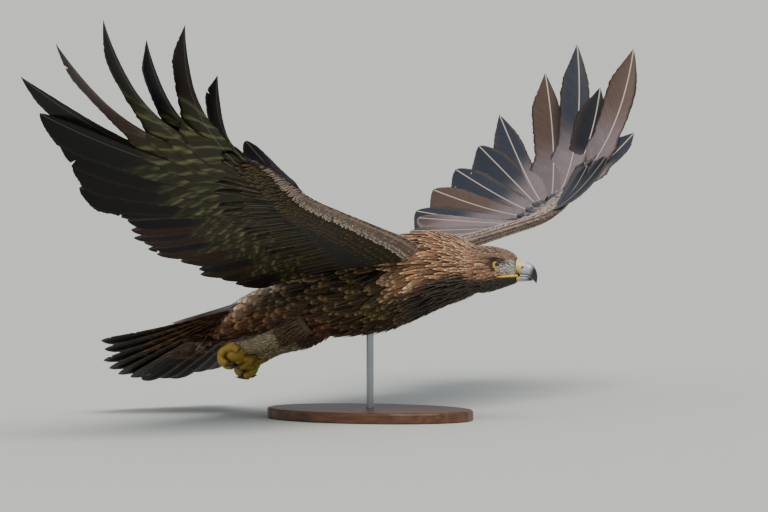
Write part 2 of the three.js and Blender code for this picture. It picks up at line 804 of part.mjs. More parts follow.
const torsoShape = bodyLoft(TORSO, 12, BODY_SIDES);
const neck = neckShape();
const torso = largest([1, -1].reduce((left, side) => left.subtract(legShape(side, GAP)), torsoShape));
const wingSocket = join([bodyLoft(TORSO, 12, BODY_SIDES, GAP), neck]);

add(bird, 'torso', torso, BROWN);
add(bird, 'neck', neck, GOLD);
add(bird, 'head', inHead(headShape()), GOLD);
add(bird, 'cere', inHead(cereShape()), SKIN);
add(bird, 'upper_bill', inHead(loft(UPPER_BILL.map((ring) => billRing(ring, 16)))), HORN);
add(bird, 'lower_bill', inHead(loft(ringsAlong(LOWER_BILL, 14))), HORN);
add(bird, 'tail', tailShape(), QUILL);
for (const [name, side] of [['left', 1], ['right', -1]]) {
  add(bird, `eye_${name}`, inHead(eyeball(side, EYE_RADIUS)), IRIS);
  for (const [part, solid] of Object.entries(wingParts(side, wingSocket))) {
    add(bird, `wing_${name}_${part}`, solid, part === 'hand' ? QUILL : PALE);
  }
  const foot = footShape(side);
  add(bird, `leg_${name}`, legShape(side), PALE);
  const claws = TOES.map((toe) => claw(side, toe));
  const clawsGrown = TOES.map((toe) => claw(side, { ...toe, radius: toe.radius + GAP }));
  const bare = clawsGrown.reduce((left, grown) => left.subtract(grown), foot.subtract(legShape(side, GAP)));
  add(bird, `foot_${name}`, largest(bare), SKIN);
  claws.forEach((solid, i) => add(bird, `claw_${name}_${i + 1}`, solid, HORN));
}

bird.rotation.set(-BANK_LEFT, -PITCH_UP, 0, 'XYZ');
bird.position.set(BIRD_FORWARD, 0, SHOULDER_HEIGHT);
bird.updateMatrixWorld(true);

// The rod runs up to the belly and follows its curve at the top
const belly = bodyLoft(TORSO, 12, BODY_SIDES, GAP).transform(bird.matrixWorld.elements);
const post = new THREE.CylinderGeometry(ROD_RADIUS, ROD_RADIUS, SHOULDER_HEIGHT - BASE_THICKNESS - GAP, 24);
post.rotateX(Math.PI / 2).translate(ROD_X, 0, (SHOULDER_HEIGHT + BASE_THICKNESS + GAP) / 2);
const rodPieces = solidOf(post).subtract(belly).decompose();
const lowest = (piece) => piece.boundingBox().min[2];
const rod = rodPieces.reduce((low, piece) => (lowest(piece) < lowest(low) ? piece : low));
add(stand, 'stand_base', standBase(), WALNUT);
add(stand, 'stand_rod', rod, STEEL);

const eagle = new THREE.Group();
eagle.add(bird, stand);

export default eagle;
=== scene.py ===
import math

import bmesh
import bpy
import numpy as np
from mathutils import Euler, Matrix, Vector


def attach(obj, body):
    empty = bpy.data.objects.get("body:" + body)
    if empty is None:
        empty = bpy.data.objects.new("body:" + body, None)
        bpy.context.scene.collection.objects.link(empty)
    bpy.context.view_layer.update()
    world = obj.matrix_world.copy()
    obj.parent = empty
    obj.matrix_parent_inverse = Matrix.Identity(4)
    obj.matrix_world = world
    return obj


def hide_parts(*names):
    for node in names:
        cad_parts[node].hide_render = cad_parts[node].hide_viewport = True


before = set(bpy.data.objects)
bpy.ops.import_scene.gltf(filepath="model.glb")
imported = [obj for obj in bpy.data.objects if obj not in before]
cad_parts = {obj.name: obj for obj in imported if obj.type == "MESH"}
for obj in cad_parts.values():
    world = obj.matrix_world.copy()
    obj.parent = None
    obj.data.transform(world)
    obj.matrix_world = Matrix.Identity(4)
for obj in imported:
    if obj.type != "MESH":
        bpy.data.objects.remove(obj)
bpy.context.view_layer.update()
rng = np.random.default_rng(7)
MM = 0.001

# The bird's attitude and place over the stand
PITCH_UP = math.radians(12)
BANK_LEFT = math.radians(4.2)
BIRD_PLACE = (100, 0, 286)

# Torso, neck and head, each row along the body: place, top, underside, half width
TORSO = [
    (-300, -9, -84, 40),
    (-250, 0, -100, 54),
    (-180, 11, -115, 68),
    (-100, 24, -121, 77),
    (-40, 29, -111, 74),
    (20, 25, -100, 60),
]
NECK_MIDDLE = (58, 9, -95, 47)
TAIL_ROOT = [(-300, -9, -84, 40), (-335, -17, -84, 37), (-365, -30, -82, 30), (-385, -44, -78, 18)]
HEAD = [
    (-46, 33, -44, 38),
    (-25, 33, -44, 36),
    (-6, 30.5, -39, 32.5),
    (10, 26, -34, 28.5),
    (22, 19.5, -30, 22),
    (33, 9.8, -26.4, 13.6),
]
HEAD_PLACE = (129.5, 6, -54)
HEAD_DROOP = math.radians(10)
HEAD_TURN = math.radians(8)
BODY_SQUARENESS = 2.2
EYE_RADIUS = 12
EYE_OUT = 19.5
EYE_FORWARD = math.radians(14)

# Wings
SHOULDER = 74
HAND_END = 606
WING_REACH = 640
ARM_SLOPE = math.radians(9)
HAND_SLOPE = math.radians(22)
SLOPE_RISES = (400, 560)
WING_INCIDENCE = math.radians(4)
WING_FLESH = [
    (40, 14, 160, 54),
    (110, 24, 156, 44),
    (190, 27, 140, 34),
    (262, 28, 124, 30),
    (370, 29, 100, 27),
    (440, 30, 84, 25),
    (486, 30, 70, 22),
    (540, 27, 56, 16),
    (590, 18, 39, 10),
    (610, 9, 23, 6),
]
SECONDARIES = 16
SECONDARY_ROOTS = (104, 464)
SECONDARY_FAN = (math.radians(97), math.radians(62))
TRAILING_EDGE = [(90, -304), (160, -315), (300, -306), (400, -284), (470, -267)]
SECONDARY_WIDTH = (38, 46)
# How far the air lifts the ends of the outer secondaries
TRAILING_LIFT = {1: math.radians(4), -1: 0.0}
LAST_SECONDARY_RISE = math.radians(16)
PRIMARIES = 10
PRIMARY_ROOTS = (480, 598)
FIRST_FINGER = 4
FINGERS = {
    1: {
        "bends": (1.4,) * 10,
        "bow": math.radians(-4),
        "twist": math.radians(-30),
        "width": 74,
        "lead": 0.36,
        "thumb": math.radians(-24),
        "fans": (56.2, 48.6, 40.4, 32.7, 28.6, 17.5, 8.7, 3.5, -7.1, -14.6),
        "lengths": (344, 362, 389, 434, 490, 500, 482, 370, 403, 235),
        "slopes": (39, 45, 44, 43, 46, 56, 69, 56, 73, 36),
    },
    -1: {
        "bends": (2.4, 2.4, 2.4, 2, 0.8, 1.8, 2.4, 2.4, 2.4, 2.4),
        "bow": math.radians(-24),
        "twist": math.radians(-40),
        "width": 64,
        "lead": 0.3,
        "thumb": math.radians(6),
        "fans": (56, 48.3, 39.8, 32.8, 32.6, 21.8, 12.8, 7.1, -3.7, -9.3),
        "lengths": (332, 346, 380, 428, 489, 489, 464, 385, 387, 261),
        "slopes": (50, 57, 59, 48, 38, 53, 76, 75, 82, 71),
    },
}
FINGER_NOTCH = 0.3
FIRST_FINGER_TWIST = 0.25
LAST_FINGER_WIDTH = 0.8
FEATHER_BOW = math.radians(8)
TWIST_SPAN = (0.3, 0.75)
LEADING_TWIST_SPAN = (0, 0.5)
SHINGLE_TILT = math.radians(4.5)

# Tail
RECTRICES = 12
TAIL_PLACE = (-318, 0, -34)
TAIL_FAN = math.radians(36)
TAIL_PITCH = math.radians(15.5)
TAIL_YAW = math.radians(-12)
TAIL_TWIST = math.radians(-8.5)
TAIL_LENGTH = 262
TAIL_ROUNDING = 0.1
TAIL_CUP = 0.1
TAIL_FEATHER_WIDTH = 50

LEG_OUT = 46
FOOT = (-346, 0, -110)
FOOT_SHIFT = {1: (-10, 0, -9), -1: (8, 0, 3)}


def smoothstep(x, low, high):
    t = np.clip((np.asarray(x, float) - low) / (high - low), 0, 1)
    return t * t * (3 - 2 * t)


def lerp(a, b, t):
    return a + (b - a) * t


def unit(v):
    return v / (np.linalg.norm(v, axis=-1, keepdims=True) + 1e-12)


def table_at(table, at):
    """Smooth curves through a table's rows, read at many values of its first column."""
    rows = np.array(table, float)
    if rows[0, 0] > rows[-1, 0]:
        rows = rows[::-1]
    keys = rows[:, 0]
    at = np.clip(np.asarray(at, float), keys[0], keys[-1])
    slopes = np.empty_like(rows[:, 1:])
    slopes[1:-1] = (rows[2:, 1:] - rows[:-2, 1:]) / (keys[2:] - keys[:-2])[:, None]
    slopes[0] = (rows[1, 1:] - rows[0, 1:]) / (keys[1] - keys[0])
    slopes[-1] = (rows[-1, 1:] - rows[-2, 1:]) / (keys[-1] - keys[-2])
    i = np.clip(np.searchsorted(keys, at, side="right") - 1, 0, len(keys) - 2)
    span = keys[i + 1] - keys[i]
    t = ((at - keys[i]) / span)[..., None]
    span = span[..., None]
    return (
        (2 * t**3 - 3 * t**2 + 1) * rows[i, 1:]
        + (t**3 - 2 * t**2 + t) * span * slopes[i]
        + (3 * t**2 - 2 * t**3) * rows[i + 1, 1:]
        + (t**3 - t**2) * span * slopes[i + 1]
    )


def colour(code):
    """A screen colour such as 0x8a5c30 as linear light."""
    parts = np.array([(code >> shift & 255) / 255 for shift in (16, 8, 0)])
    return np.where(parts <= 0.04045, parts / 12.92, ((parts + 0.055) / 1.055) ** 2.4)


def tilted(x=0, y=0, z=0):
    return Euler((x, y, z)).to_matrix().to_4x4()


BIRD = Matrix.Translation(Vector(BIRD_PLACE) * MM) @ tilted(x=-BANK_LEFT) @ tilted(y=-PITCH_UP)
HEAD_FRAME = Matrix.Translation(HEAD_PLACE) @ tilted(z=HEAD_TURN) @ tilted(y=HEAD_DROOP)
TAIL_TURN = tilted(z=TAIL_YAW) @ tilted(y=-TAIL_PITCH) @ tilted(x=TAIL_TWIST)
TAIL_FRAME = Matrix.Translation(TAIL_PLACE) @ TAIL_TURN


def placed(points, matrix):
    m = np.array(matrix)
    return points @ m[:3, :3].T + m[:3, 3]


def turned(vectors, matrix):
    return vectors @ np.array(matrix)[:3, :3].T


def to_world(points):
    """Millimetres in the bird's frame to metres in the scene."""
    return placed(np.asarray(points) * MM, BIRD)


def full_turn(count):
    return np.arange(count) / count * 2 * math.pi


def distances(points):
    """How far each point of a path lies along it."""
    return np.concatenate([[0], np.cumsum(np.linalg.norm(np.diff(points, axis=0), axis=1))])


# Meshes from arrays


def put_in_scene(name, data):
    piece = bpy.data.objects.new(name, data)
    bpy.context.scene.collection.objects.link(piece)
    return piece


def mesh_object(name, points, faces, material):
    mesh = bpy.data.meshes.new(name)
    mesh.from_pydata(points.tolist(), [], [tuple(int(i) for i in face) for face in faces])
    mesh.validate()
    mesh.polygons.foreach_set("use_smooth", [True] * len(mesh.polygons))
    mesh.materials.append(material)
    return put_in_scene(name, mesh)


def outward(piece):
    """Turns a closed mesh's faces outward."""
    shape = bmesh.new()
    shape.from_mesh(piece.data)
    bmesh.ops.recalc_face_normals(shape, faces=shape.faces)
    if shape.calc_volume(signed=True) < 0:
        bmesh.ops.reverse_faces(shape, faces=shape.faces)
    shape.to_mesh(piece.data)
    shape.free()
    return piece


def tube_faces(rings, sides):
    faces = []
    for r in range(rings - 1):
        for i in range(sides):
            a, b = r * sides + i, r * sides + (i + 1) % sides
            faces.append((a, b, b + sides, a + sides))
    faces.append(tuple(range(sides))[::-1])
    faces.append(tuple((rings - 1) * sides + i for i in range(sides)))
    return faces


def loft(name, rings, material):
    """A closed skin over rings of points, each of the same count."""
    rings = np.asarray(rings)
    piece = mesh_object(name, rings.reshape(-1, 3), tube_faces(*rings.shape[:2]), material)
    return outward(piece)


def give_colours(piece, colours, domain="POINT"):
    layer = piece.data.color_attributes.new("coat", "FLOAT_COLOR", domain)
    layer.data.foreach_set("color", np.asarray(colours, np.float32).ravel())
def painted(piece, tone):
    """Gives each point of a mesh its own colour, or all of them one."""
    count = len(piece.data.vertices)
    give_colours(piece, np.concatenate([np.broadcast_to(tone, (count, 3)), np.ones((count, 1))], 1))
    return piece
def give_map(piece, name, per_vertex):
    corners = np.empty(len(piece.data.loops), int)
    piece.data.loops.foreach_get("vertex_index", corners)
    layer = piece.data.uv_layers.new(name=name)
    layer.data.foreach_set("uv", np.asarray(per_vertex, np.float32)[corners].ravel())


# The body's surface as rings from the tail's root to the face

RING = 96
RING_ANGLES = full_turn(RING)


def body_rings(table, places):
    values = table_at(table, places)
    top, bottom, half = (values[:, i : i + 1] for i in range(3))
    c, s = np.cos(RING_ANGLES), np.sin(RING_ANGLES)
    power = 2 / BODY_SQUARENESS
    y = half * np.sign(c) * np.abs(c) ** power
    z = (top + bottom) / 2 + (top - bottom) / 2 * np.sign(s) * np.abs(s) ** power
    x = np.broadcast_to(np.asarray(places, float)[:, None], y.shape)
    return np.stack([x, y, z], -1)


def head_rings(places):
    return placed(body_rings(HEAD, places), HEAD_FRAME)


def catmull(rings, shares):
    """A smooth run through three rings."""
    a, b, c = rings
    before, after = 2 * a - b, 2 * c - b
    out = []
    for share in shares:
        if share < 0.5:
            p, q, r, s, t = before, a, b, c, share * 2
        else:
            p, q, r, s, t = a, b, c, after, share * 2 - 1
        out.append(
            0.5 * (2 * q + (r - p) * t + (2 * p - 5 * q + 4 * r - s) * t**2 + (3 * q - p - 3 * r + s) * t**3)
        )
    return out


HEAD_FROM = 31
tail_part = body_rings(TAIL_ROOT, np.linspace(-385, -302, 8))
torso_part = body_rings(TORSO, np.linspace(-300, 20, 33))
neck_middle = body_rings([(57,) + NECK_MIDDLE[1:], (59,) + NECK_MIDDLE[1:]], [58])[0]
head_part = head_rings(np.linspace(-46, HEAD_FROM, 20))
neck_part = catmull([torso_part[-1], neck_middle, head_part[0]], np.linspace(0, 1, 9)[1:-1])
BODY = np.concatenate([tail_part, torso_part, np.array(neck_part), head_part])
TORSO_START = len(tail_part)
NECK_START = TORSO_START + len(torso_part) - 1
HEAD_START = len(BODY) - len(head_part)
BODY_ARC = distances(BODY.mean(1))
BODY_ROW_AT = lambda arc: np.interp(arc, BODY_ARC, np.arange(len(BODY)))


def body_at(row, angle):
    """The surface's point at a fractional row and angle."""
    row = np.clip(row, 0, len(BODY) - 1.001)
    column = (angle / (2 * math.pi) * RING) % RING
    r, c = row.astype(int), column.astype(int) % RING
    fr, fc = (row - r)[..., None], (column - column.astype(int))[..., None]
    r2, c2 = np.minimum(r + 1, len(BODY) - 1), (c + 1) % RING
    near = lerp(BODY[r, c], BODY[r, c2], fc)
    return lerp(near, lerp(BODY[r2, c], BODY[r2, c2], fc), fr)


def body_frame(row, angle):
    back = unit(body_at(row - 0.4, angle) - body_at(row + 0.4, angle))
    around = unit(body_at(row, angle + 0.05) - body_at(row, angle - 0.05))
    out = unit(np.cross(back, around))
    middle = BODY.mean(1)[np.clip(row, 0, len(BODY) - 1).astype(int)]
    flip = np.sign(np.sum(out * (body_at(row, angle) - middle), -1))
    return back, around, out * flip[..., None]


# The wing's surface

ARC = np.arange(0, 900, 4.0)


def wing_slope(s):
    return lerp(ARM_SLOPE, HAND_SLOPE, smoothstep(s, *SLOPE_RISES))


mid_slopes = wing_slope((ARC[1:] + ARC[:-1]) / 2)
WING_Y = np.concatenate([[0], np.cumsum(4 * np.cos(mid_slopes))])
WING_Z = np.concatenate([[0], np.cumsum(4 * np.sin(mid_slopes))])
WING_Y += SHOULDER - np.interp(SHOULDER, ARC, WING_Y)
WING_Z -= np.interp(SHOULDER, ARC, WING_Z)


def flesh_at(s):
    """The wing flesh's leading edge, chord and thickness."""
    values = table_at(WING_FLESH, np.minimum(s, HAND_END))
    return values[..., 0], values[..., 1], values[..., 2]


def wing_point(side, s, x, z):
    slope = wing_slope(s)
    sag = (flesh_at(s)[0] - x) * math.sin(WING_INCIDENCE)
    y = np.interp(s, ARC, WING_Y) - z * np.sin(slope)
    return np.stack([x + 0 * y, side * y, np.interp(s, ARC, WING_Z) + z * np.cos(slope) - sag], -1)


# Steps a feather's curve is walked in
SHAFT_STEPS = 48


def shafts(side, s, x, z, fan, length, places, bow=0.0, tip_slope=None, bend=1.0, droop=0.0, tilt=None):
    """Centre lines of many feathers on a wing, with the ways across them and out of their upper faces."""
    full = lambda v: np.broadcast_to(np.asarray(v, float), np.shape(s)).astype(float)
    s, x, z, fan, length, droop = (full(v) for v in (s, x, z, fan, length, droop))
    steps = SHAFT_STEPS
    root_slope = wing_slope(s)
    tip_slope = root_slope if tip_slope is None else tip_slope
    at = wing_point(side, s, x, z)
    walk, leads, ups = [], [], []
    for i in range(steps + 1):
        t = i / steps
        angle = fan + bow * (t - 0.3)
        slope = lerp(root_slope, tip_slope, t**bend)
        up = np.stack([0 * slope, -side * np.sin(slope), np.cos(slope)], -1)
        c, d = np.cos(angle), np.sin(angle)
        rise, level = np.sin(slope), np.cos(slope)
        along = np.stack([-d, side * c * level, c * rise], -1)
        along = unit(along - np.tan(droop)[..., None] * up)
        lead = np.stack([c, side * d * level, d * rise], -1)
        turn = (np.full(s.shape, SHINGLE_TILT) if tilt is None else tilt(t))[..., None]
        walk.append(at.copy())
        leads.append(lead * np.cos(turn) + up * np.sin(turn))
        ups.append(up * np.cos(turn) - lead * np.sin(turn))
        at = at + along * (length / steps)[..., None]
    pick = np.array(places) * steps
    low = np.minimum(pick.astype(int), steps - 1)
    part = (pick - low)[:, None, None]
    read = lambda rows: np.swapaxes(lerp(np.array(rows)[low], np.array(rows)[low + 1], part), 0, 1)
    return read(walk), unit(read(leads)), unit(read(ups))


# Feathers


# How wide each feather's patch is on the coat's map
PATCH = 0.003
# Undersides of small feathers are darker by half: painted shade
SHADED = [0.5, 0.5, 0.5, 1]


class Plumes:
    """Gathers feathers of one template and joins them into one mesh.

    Each feather is a thin closed vane: an upper and a lower face that share their rim. Its edges lie further
    towards the tip than its shaft does, the way barbs slant.
    """

    def __init__(self, places, across, thickness, slant=0.0):
        self.places, self.across = np.array(places), np.array(across)
        self.thickness, self.slant = thickness, slant
        self.parts = []
        rows, columns = len(places), len(across)
        grid = np.arange(rows * columns).reshape(rows, columns)
        inner = grid[1:-1, 1:-1]
        under = grid.copy()
        under[1:-1, 1:-1] = rows * columns + np.arange(inner.size).reshape(inner.shape)
        self.inner = inner.ravel()
        corners = lambda sheet: (sheet[:-1, :-1], sheet[:-1, 1:], sheet[1:, 1:], sheet[1:, :-1])
        cells = lambda sheet: np.stack(corners(sheet), -1).reshape(-1, 4)
        self.quads = np.concatenate([cells(grid), cells(under)[:, ::-1]])
        self.looks = np.concatenate([cells(grid), cells(grid)[:, ::-1] + rows * columns])
        self.vertices = rows * columns + inner.size

    def add(
        self, centre, lead, up, length, width, shape, colours, under_colours, home,
        lead_share=0.5, camber=0.12,
    ):
        """centre, lead and up are [feathers, rows, 3]. shape is the vane's width along it, for both sides or
        for its trailing and its leading one. Colours are [feathers, rows, columns, 4]. home is each root's
        place on the coat's map."""
        count = len(centre)
        length, width = np.broadcast_to(length, count), np.broadcast_to(width, count)
        share = np.broadcast_to(lead_share, count)[:, None]
        u = self.across[None, None, :]
        part = np.where(u > 0, share[:, :, None], 1 - share[:, :, None])
        shape = shape if shape.ndim == 3 else np.stack([shape, shape], -1)
        full = np.where(u > 0, shape[..., 1:], shape[..., :1])
        offset = u * part * width[:, None, None] * full
        arch = -camber * np.abs(offset) * np.abs(u)
        along = unit(np.gradient(centre, axis=1))
        points = centre[:, :, None] + lead[:, :, None] * offset[..., None] + up[:, :, None] * arch[..., None]
        slant = self.slant * (1 - smoothstep(self.places, 0.8, 1))[None, :, None]
        points = points + along[:, :, None] * (slant * np.abs(offset))[..., None]
        flat = points.reshape(count, -1, 3)
        ups = np.broadcast_to(up[:, :, None], points.shape).reshape(count, -1, 3)
        below = flat[:, self.inner] - ups[:, self.inner] * self.thickness
        v = np.broadcast_to(self.places[None, :, None], offset.shape)
        vane = np.stack([offset * MM * 10, v * length[:, None, None] * MM * 10], -1).reshape(count, -1, 2)
        local = np.stack(np.broadcast_arrays(u / 2 + 0.5, v), -1).reshape(count, -1, 2)
        self.parts.append(
            (
                np.concatenate([flat, below], 1),
                np.concatenate([colours.reshape(count, -1, 4), under_colours.reshape(count, -1, 4)], 1),
                np.concatenate([vane, vane[:, self.inner]], 1),
                np.concatenate([local, local[:, self.inner] + [1.15, 0]], 1),
                np.asarray(home, float),
            )
        )

    def make(self, name, material):
        points, colours, vane, local, home = (np.concatenate(kind) for kind in zip(*self.parts))
        count = len(points)
        faces = (self.quads[None] + (np.arange(count) * self.vertices)[:, None, None]).reshape(-1, 4)
        mesh = bpy.data.meshes.new(name)
        mesh.vertices.add(count * self.vertices)
        mesh.vertices.foreach_set("co", to_world(points.reshape(-1, 3)).ravel().astype(np.float32))
        mesh.loops.add(faces.size)
        mesh.loops.foreach_set("vertex_index", faces.ravel().astype(np.int32))
        mesh.polygons.add(len(faces))
        mesh.polygons.foreach_set("loop_start", np.arange(0, faces.size, 4, dtype=np.int32))
        mesh.polygons.foreach_set("use_smooth", np.ones(len(faces), bool))
        mesh.update(calc_edges=True)
        mesh.materials.append(material)
        piece = put_in_scene(name, mesh)
        give_colours(piece, colours[:, self.looks.ravel()], "CORNER")
        give_map(piece, "Vane", vane.reshape(-1, 2))
        spread = home[:, None] * (1 - 3 * PATCH) + local * PATCH
        give_map(piece, "OFBake", spread.reshape(-1, 2))
        return piece


def vane_shape(places, point, base=0.35, base_to=0.22, tip=0.06, notch=0.0, notch_at=(0.4, 0.54), sharp=0.0):
    t = np.asarray(places)
    body = lerp(base, 1, smoothstep(t, 0, base_to))
    along_end = np.clip((t - 1 + point) / point, 0, 1)
    end = lerp(np.sqrt(1 - along_end**2), 1 - along_end**1.7, sharp)
    return body * np.maximum(end, tip) * (1 - notch * smoothstep(t, *notch_at))


def paint(plumes, count, centre, edge, tip, edge_width=0.4, tip_from=0.75, shaft=0.5, vary=0.12):
    """Colours of many feathers: darker along the middle, and other colours at the rim and at the tip."""
    v, u = plumes.places[None, :, None], np.abs(plumes.across)[None, None, :]
    v, u = np.broadcast_arrays(v, u)
    rim = smoothstep(u, 1 - edge_width, 1)[..., None]
    end = smoothstep(v, tip_from, 1)[..., None]
    spread = lambda c: np.broadcast_to(np.asarray(c, float), (count, 3))[:, None, None, :]
    mixed = lerp(lerp(spread(centre), spread(edge), rim), spread(tip), end)
    mixed = mixed * (1 + vary * rng.standard_normal((count, 1, 1, 1)))
    alpha = np.broadcast_to(np.broadcast_to(shaft, count)[:, None, None, None], mixed.shape[:3] + (1,))
    return np.concatenate([np.clip(mixed, 0.002, 1), alpha], -1)


# Materials

# How far barbs slant towards the tip for each step out, and the share of their width left in the pattern
BARB_SLANT = 1.3
BARB_STRETCH = 0.12
MULTIPLY = {"data_type": "RGBA", "blend_type": "MULTIPLY", 0: 1.0}


def put(tree, kind, settings=None, links=None):
    """Adds one node. Settings name its properties or its sockets. Links name the sockets that another node's
    socket feeds, or its first one where the node itself is given."""
    made = tree.nodes.new(kind)
    for key, value in (settings or {}).items():
        if isinstance(key, int) or key in made.inputs:
            made.inputs[key].default_value = value
        else:
            setattr(made, key, value)
    for key, source in (links or {}).items():
        socket = source.outputs[0] if isinstance(source, bpy.types.Node) else source
        tree.links.new(socket, made.inputs[key])
    return made


def material(name, settings):
    made = bpy.data.materials.new(name)
    made.use_nodes = True
    tree = made.node_tree
    surface = tree.nodes["Principled BSDF"]
    for key, value in settings.items():
        surface.inputs[key].default_value = value
    return made, tree, surface


def ramp(tree, source, stops):
    made = put(tree, "ShaderNodeValToRGB", None, {"Fac": source})
    for place, value in stops[1:-1]:
        made.color_ramp.elements.new(place)
    for element, (place, value) in zip(made.color_ramp.elements, stops):
        element.position = place
        element.color = (value, value, value, 1) if np.isscalar(value) else (*value, 1)
    return made


def feather_material(name, roughness, barb_depth, mottle):
    """Vanes of fine slanted barbs either side of a pale shaft, with soft uneven tone."""
    made, tree, surface = material(name, {"Roughness": roughness, "Specular IOR Level": 0.2})
    coat = put(tree, "ShaderNodeVertexColor", {"layer_name": "coat"})
    vane = put(tree, "ShaderNodeUVMap", {"uv_map": "Vane"})
    apart = put(tree, "ShaderNodeSeparateXYZ", None, {0: vane})
    away = put(tree, "ShaderNodeMath", {"operation": "ABSOLUTE"}, {0: apart})
    slant = put(tree, "ShaderNodeMath", {"operation": "MULTIPLY", 1: BARB_SLANT}, {0: away})
    along = put(tree, "ShaderNodeMath", {"operation": "SUBTRACT"}, {0: apart.outputs["Y"], 1: slant})
    across = put(tree, "ShaderNodeMath", {"operation": "MULTIPLY", 1: BARB_STRETCH}, {0: apart})
    joined = put(tree, "ShaderNodeCombineXYZ", None, {"X": along, "Y": across})
    # Barbs run about a millimetre apart, so the map's tenths of a metre are cut 90 to the unit
    fine = {"Scale": 90.0, "Detail": 2.0, "Roughness": 0.6}
    barbs = put(tree, "ShaderNodeTexNoise", fine, {"Vector": joined})
    clumps = put(tree, "ShaderNodeTexNoise", {"Scale": 22.0, "Detail": 2.0}, {"Vector": joined})
    streak = ramp(tree, barbs, [(0.3, 0.72), (0.7, 1.22)])
    uneven = ramp(tree, clumps, [(0.3, 1 - mottle), (0.7, 1 + mottle)])
    tone = put(tree, "ShaderNodeMix", MULTIPLY, {6: coat, 7: streak})
    toned = put(tree, "ShaderNodeMix", MULTIPLY, {6: tone.outputs[2], 7: uneven})
    # The shaft is about a millimetre either side of the middle
    line = put(tree, "ShaderNodeMapRange", {1: 0.006, 2: 0.012, 3: 1.0, 4: 0.0}, {0: away})
    strength = put(tree, "ShaderNodeMath", {"operation": "MULTIPLY"}, {0: line, 1: coat.outputs["Alpha"]})
    pale = {"data_type": "RGBA", 7: (*colour(0xCBBBAA), 1)}
    shaft = put(tree, "ShaderNodeMix", pale, {0: strength, 6: toned.outputs[2]})
    tree.links.new(shaft.outputs[2], surface.inputs["Base Color"])
    bump = put(tree, "ShaderNodeBump", {"Strength": barb_depth, "Distance": 0.0004}, {"Height": barbs})
    tree.links.new(bump.outputs[0], surface.inputs["Normal"])
    return made


def coloured_material(name, roughness, grain_mm, grain_amount, bump_mm, extra=None):
    """A surface painted by its own colours, with fine uneven tone and relief."""
    made, tree, surface = material(name, {"Roughness": roughness, **(extra or {})})
    coat = put(tree, "ShaderNodeVertexColor", {"layer_name": "coat"})
    place = put(tree, "ShaderNodeTexCoord").outputs["Object"]
    grain = put(tree, "ShaderNodeTexNoise", {"Scale": 1 / (grain_mm * MM), "Detail": 3.0}, {"Vector": place})
    tone = ramp(tree, grain, [(0.3, 1 - grain_amount), (0.7, 1 + grain_amount)])
    mixed = put(tree, "ShaderNodeMix", MULTIPLY, {6: coat, 7: tone})
    tree.links.new(mixed.outputs[2], surface.inputs["Base Color"])
    bump = put(tree, "ShaderNodeBump", {"Strength": 0.6, "Distance": bump_mm * MM}, {"Height": grain})
    tree.links.new(bump.outputs[0], surface.inputs["Normal"])
    return made


def plain_material(name, code, settings, grain_mm=None, codes=None):
    made, tree, surface = material(name, {"Base Color": (*colour(code), 1), **settings})
    if grain_mm:
        place = put(tree, "ShaderNodeTexCoord").outputs["Object"]
        stretch = put(tree, "ShaderNodeMapping", {"Scale": (0.12, 1, 1)}, {"Vector": place})
        grain = {"Scale": 1 / (grain_mm * MM), "Detail": 4.0, "Distortion": 0.6}
        noise = put(tree, "ShaderNodeTexNoise", grain, {"Vector": stretch})
        tone = ramp(tree, noise, [(0.3, tuple(colour(codes[0]))), (0.7, tuple(colour(codes[1])))])
        tree.links.new(tone.outputs[0], surface.inputs["Base Color"])
    return made


# Contour feathers give the eye soft, slightly glossy layers; flight feathers give firmer vanes
SOFT_FEATHER = feather_material("soft_feather", 0.72, 0.35, 0.18)
STIFF_FEATHER = feather_material("stiff_feather", 0.5, 0.3, 0.14)
# Skin under the coat, seen only in slits between feathers
UNDERCOAT = coloured_material("undercoat", 0.9, 5, 0.25, 0.5)
# Waxy yellow skin of the cere, mouth and toes
WAXY_SKIN = coloured_material("waxy_skin", 0.42, 2.2, 0.12, 0.5, {"Subsurface Weight": 0.08})
# Polished keratin
HORN = coloured_material("horn", 0.22, 4, 0.08, 0.08, {"Coat Weight": 0.3, "Coat Roughness": 0.15})
# A wet eye
EYE = coloured_material("eye", 0.08, 0.8, 0.18, 0.0001, {"Coat Weight": 1.0, "Coat Roughness": 0.02})
WALNUT = plain_material("walnut", 0x5A3A24, {"Roughness": 0.45}, 9, (0x3E2616, 0x6B4529))
STEEL = plain_material("satin_steel", 0x9A9C9E, {"Roughness": 0.32, "Metallic": 1.0})
FLOOR = plain_material("floor", 0xC9CCC6, {"Roughness": 0.95})


# Colours of the body's coat


def mix(a, b, t):
    """Between two colours, each given as one or as a screen colour, by t at each place."""
    a, b = (colour(c) if isinstance(c, int) else c for c in (a, b))
    return lerp(a, b, np.asarray(t)[..., None])


# Centre, edge and tip colours of the feathers, each as its tone below and above
TORSO_TONES = [(0x1B140D, 0x4A3A30), (0x66502C, 0xA08A74), (0x7E6238, 0xB6A08A)]
FLANK_TONES = [(0x3C2416,) * 2, (0x6E4730,) * 2, (0x845A3E,) * 2]
RUMP_TONES = [(0x3E291B, 0x8A6A56), (0x7E5434, 0xC4A690), (0x9C7248, 0xE2D2C6)]
NECK_TONES = [(0x120D09, 0x744A2C), (0x2E2216, 0xCE9C72), (0x3E2E1C, 0xE8C6A4)]


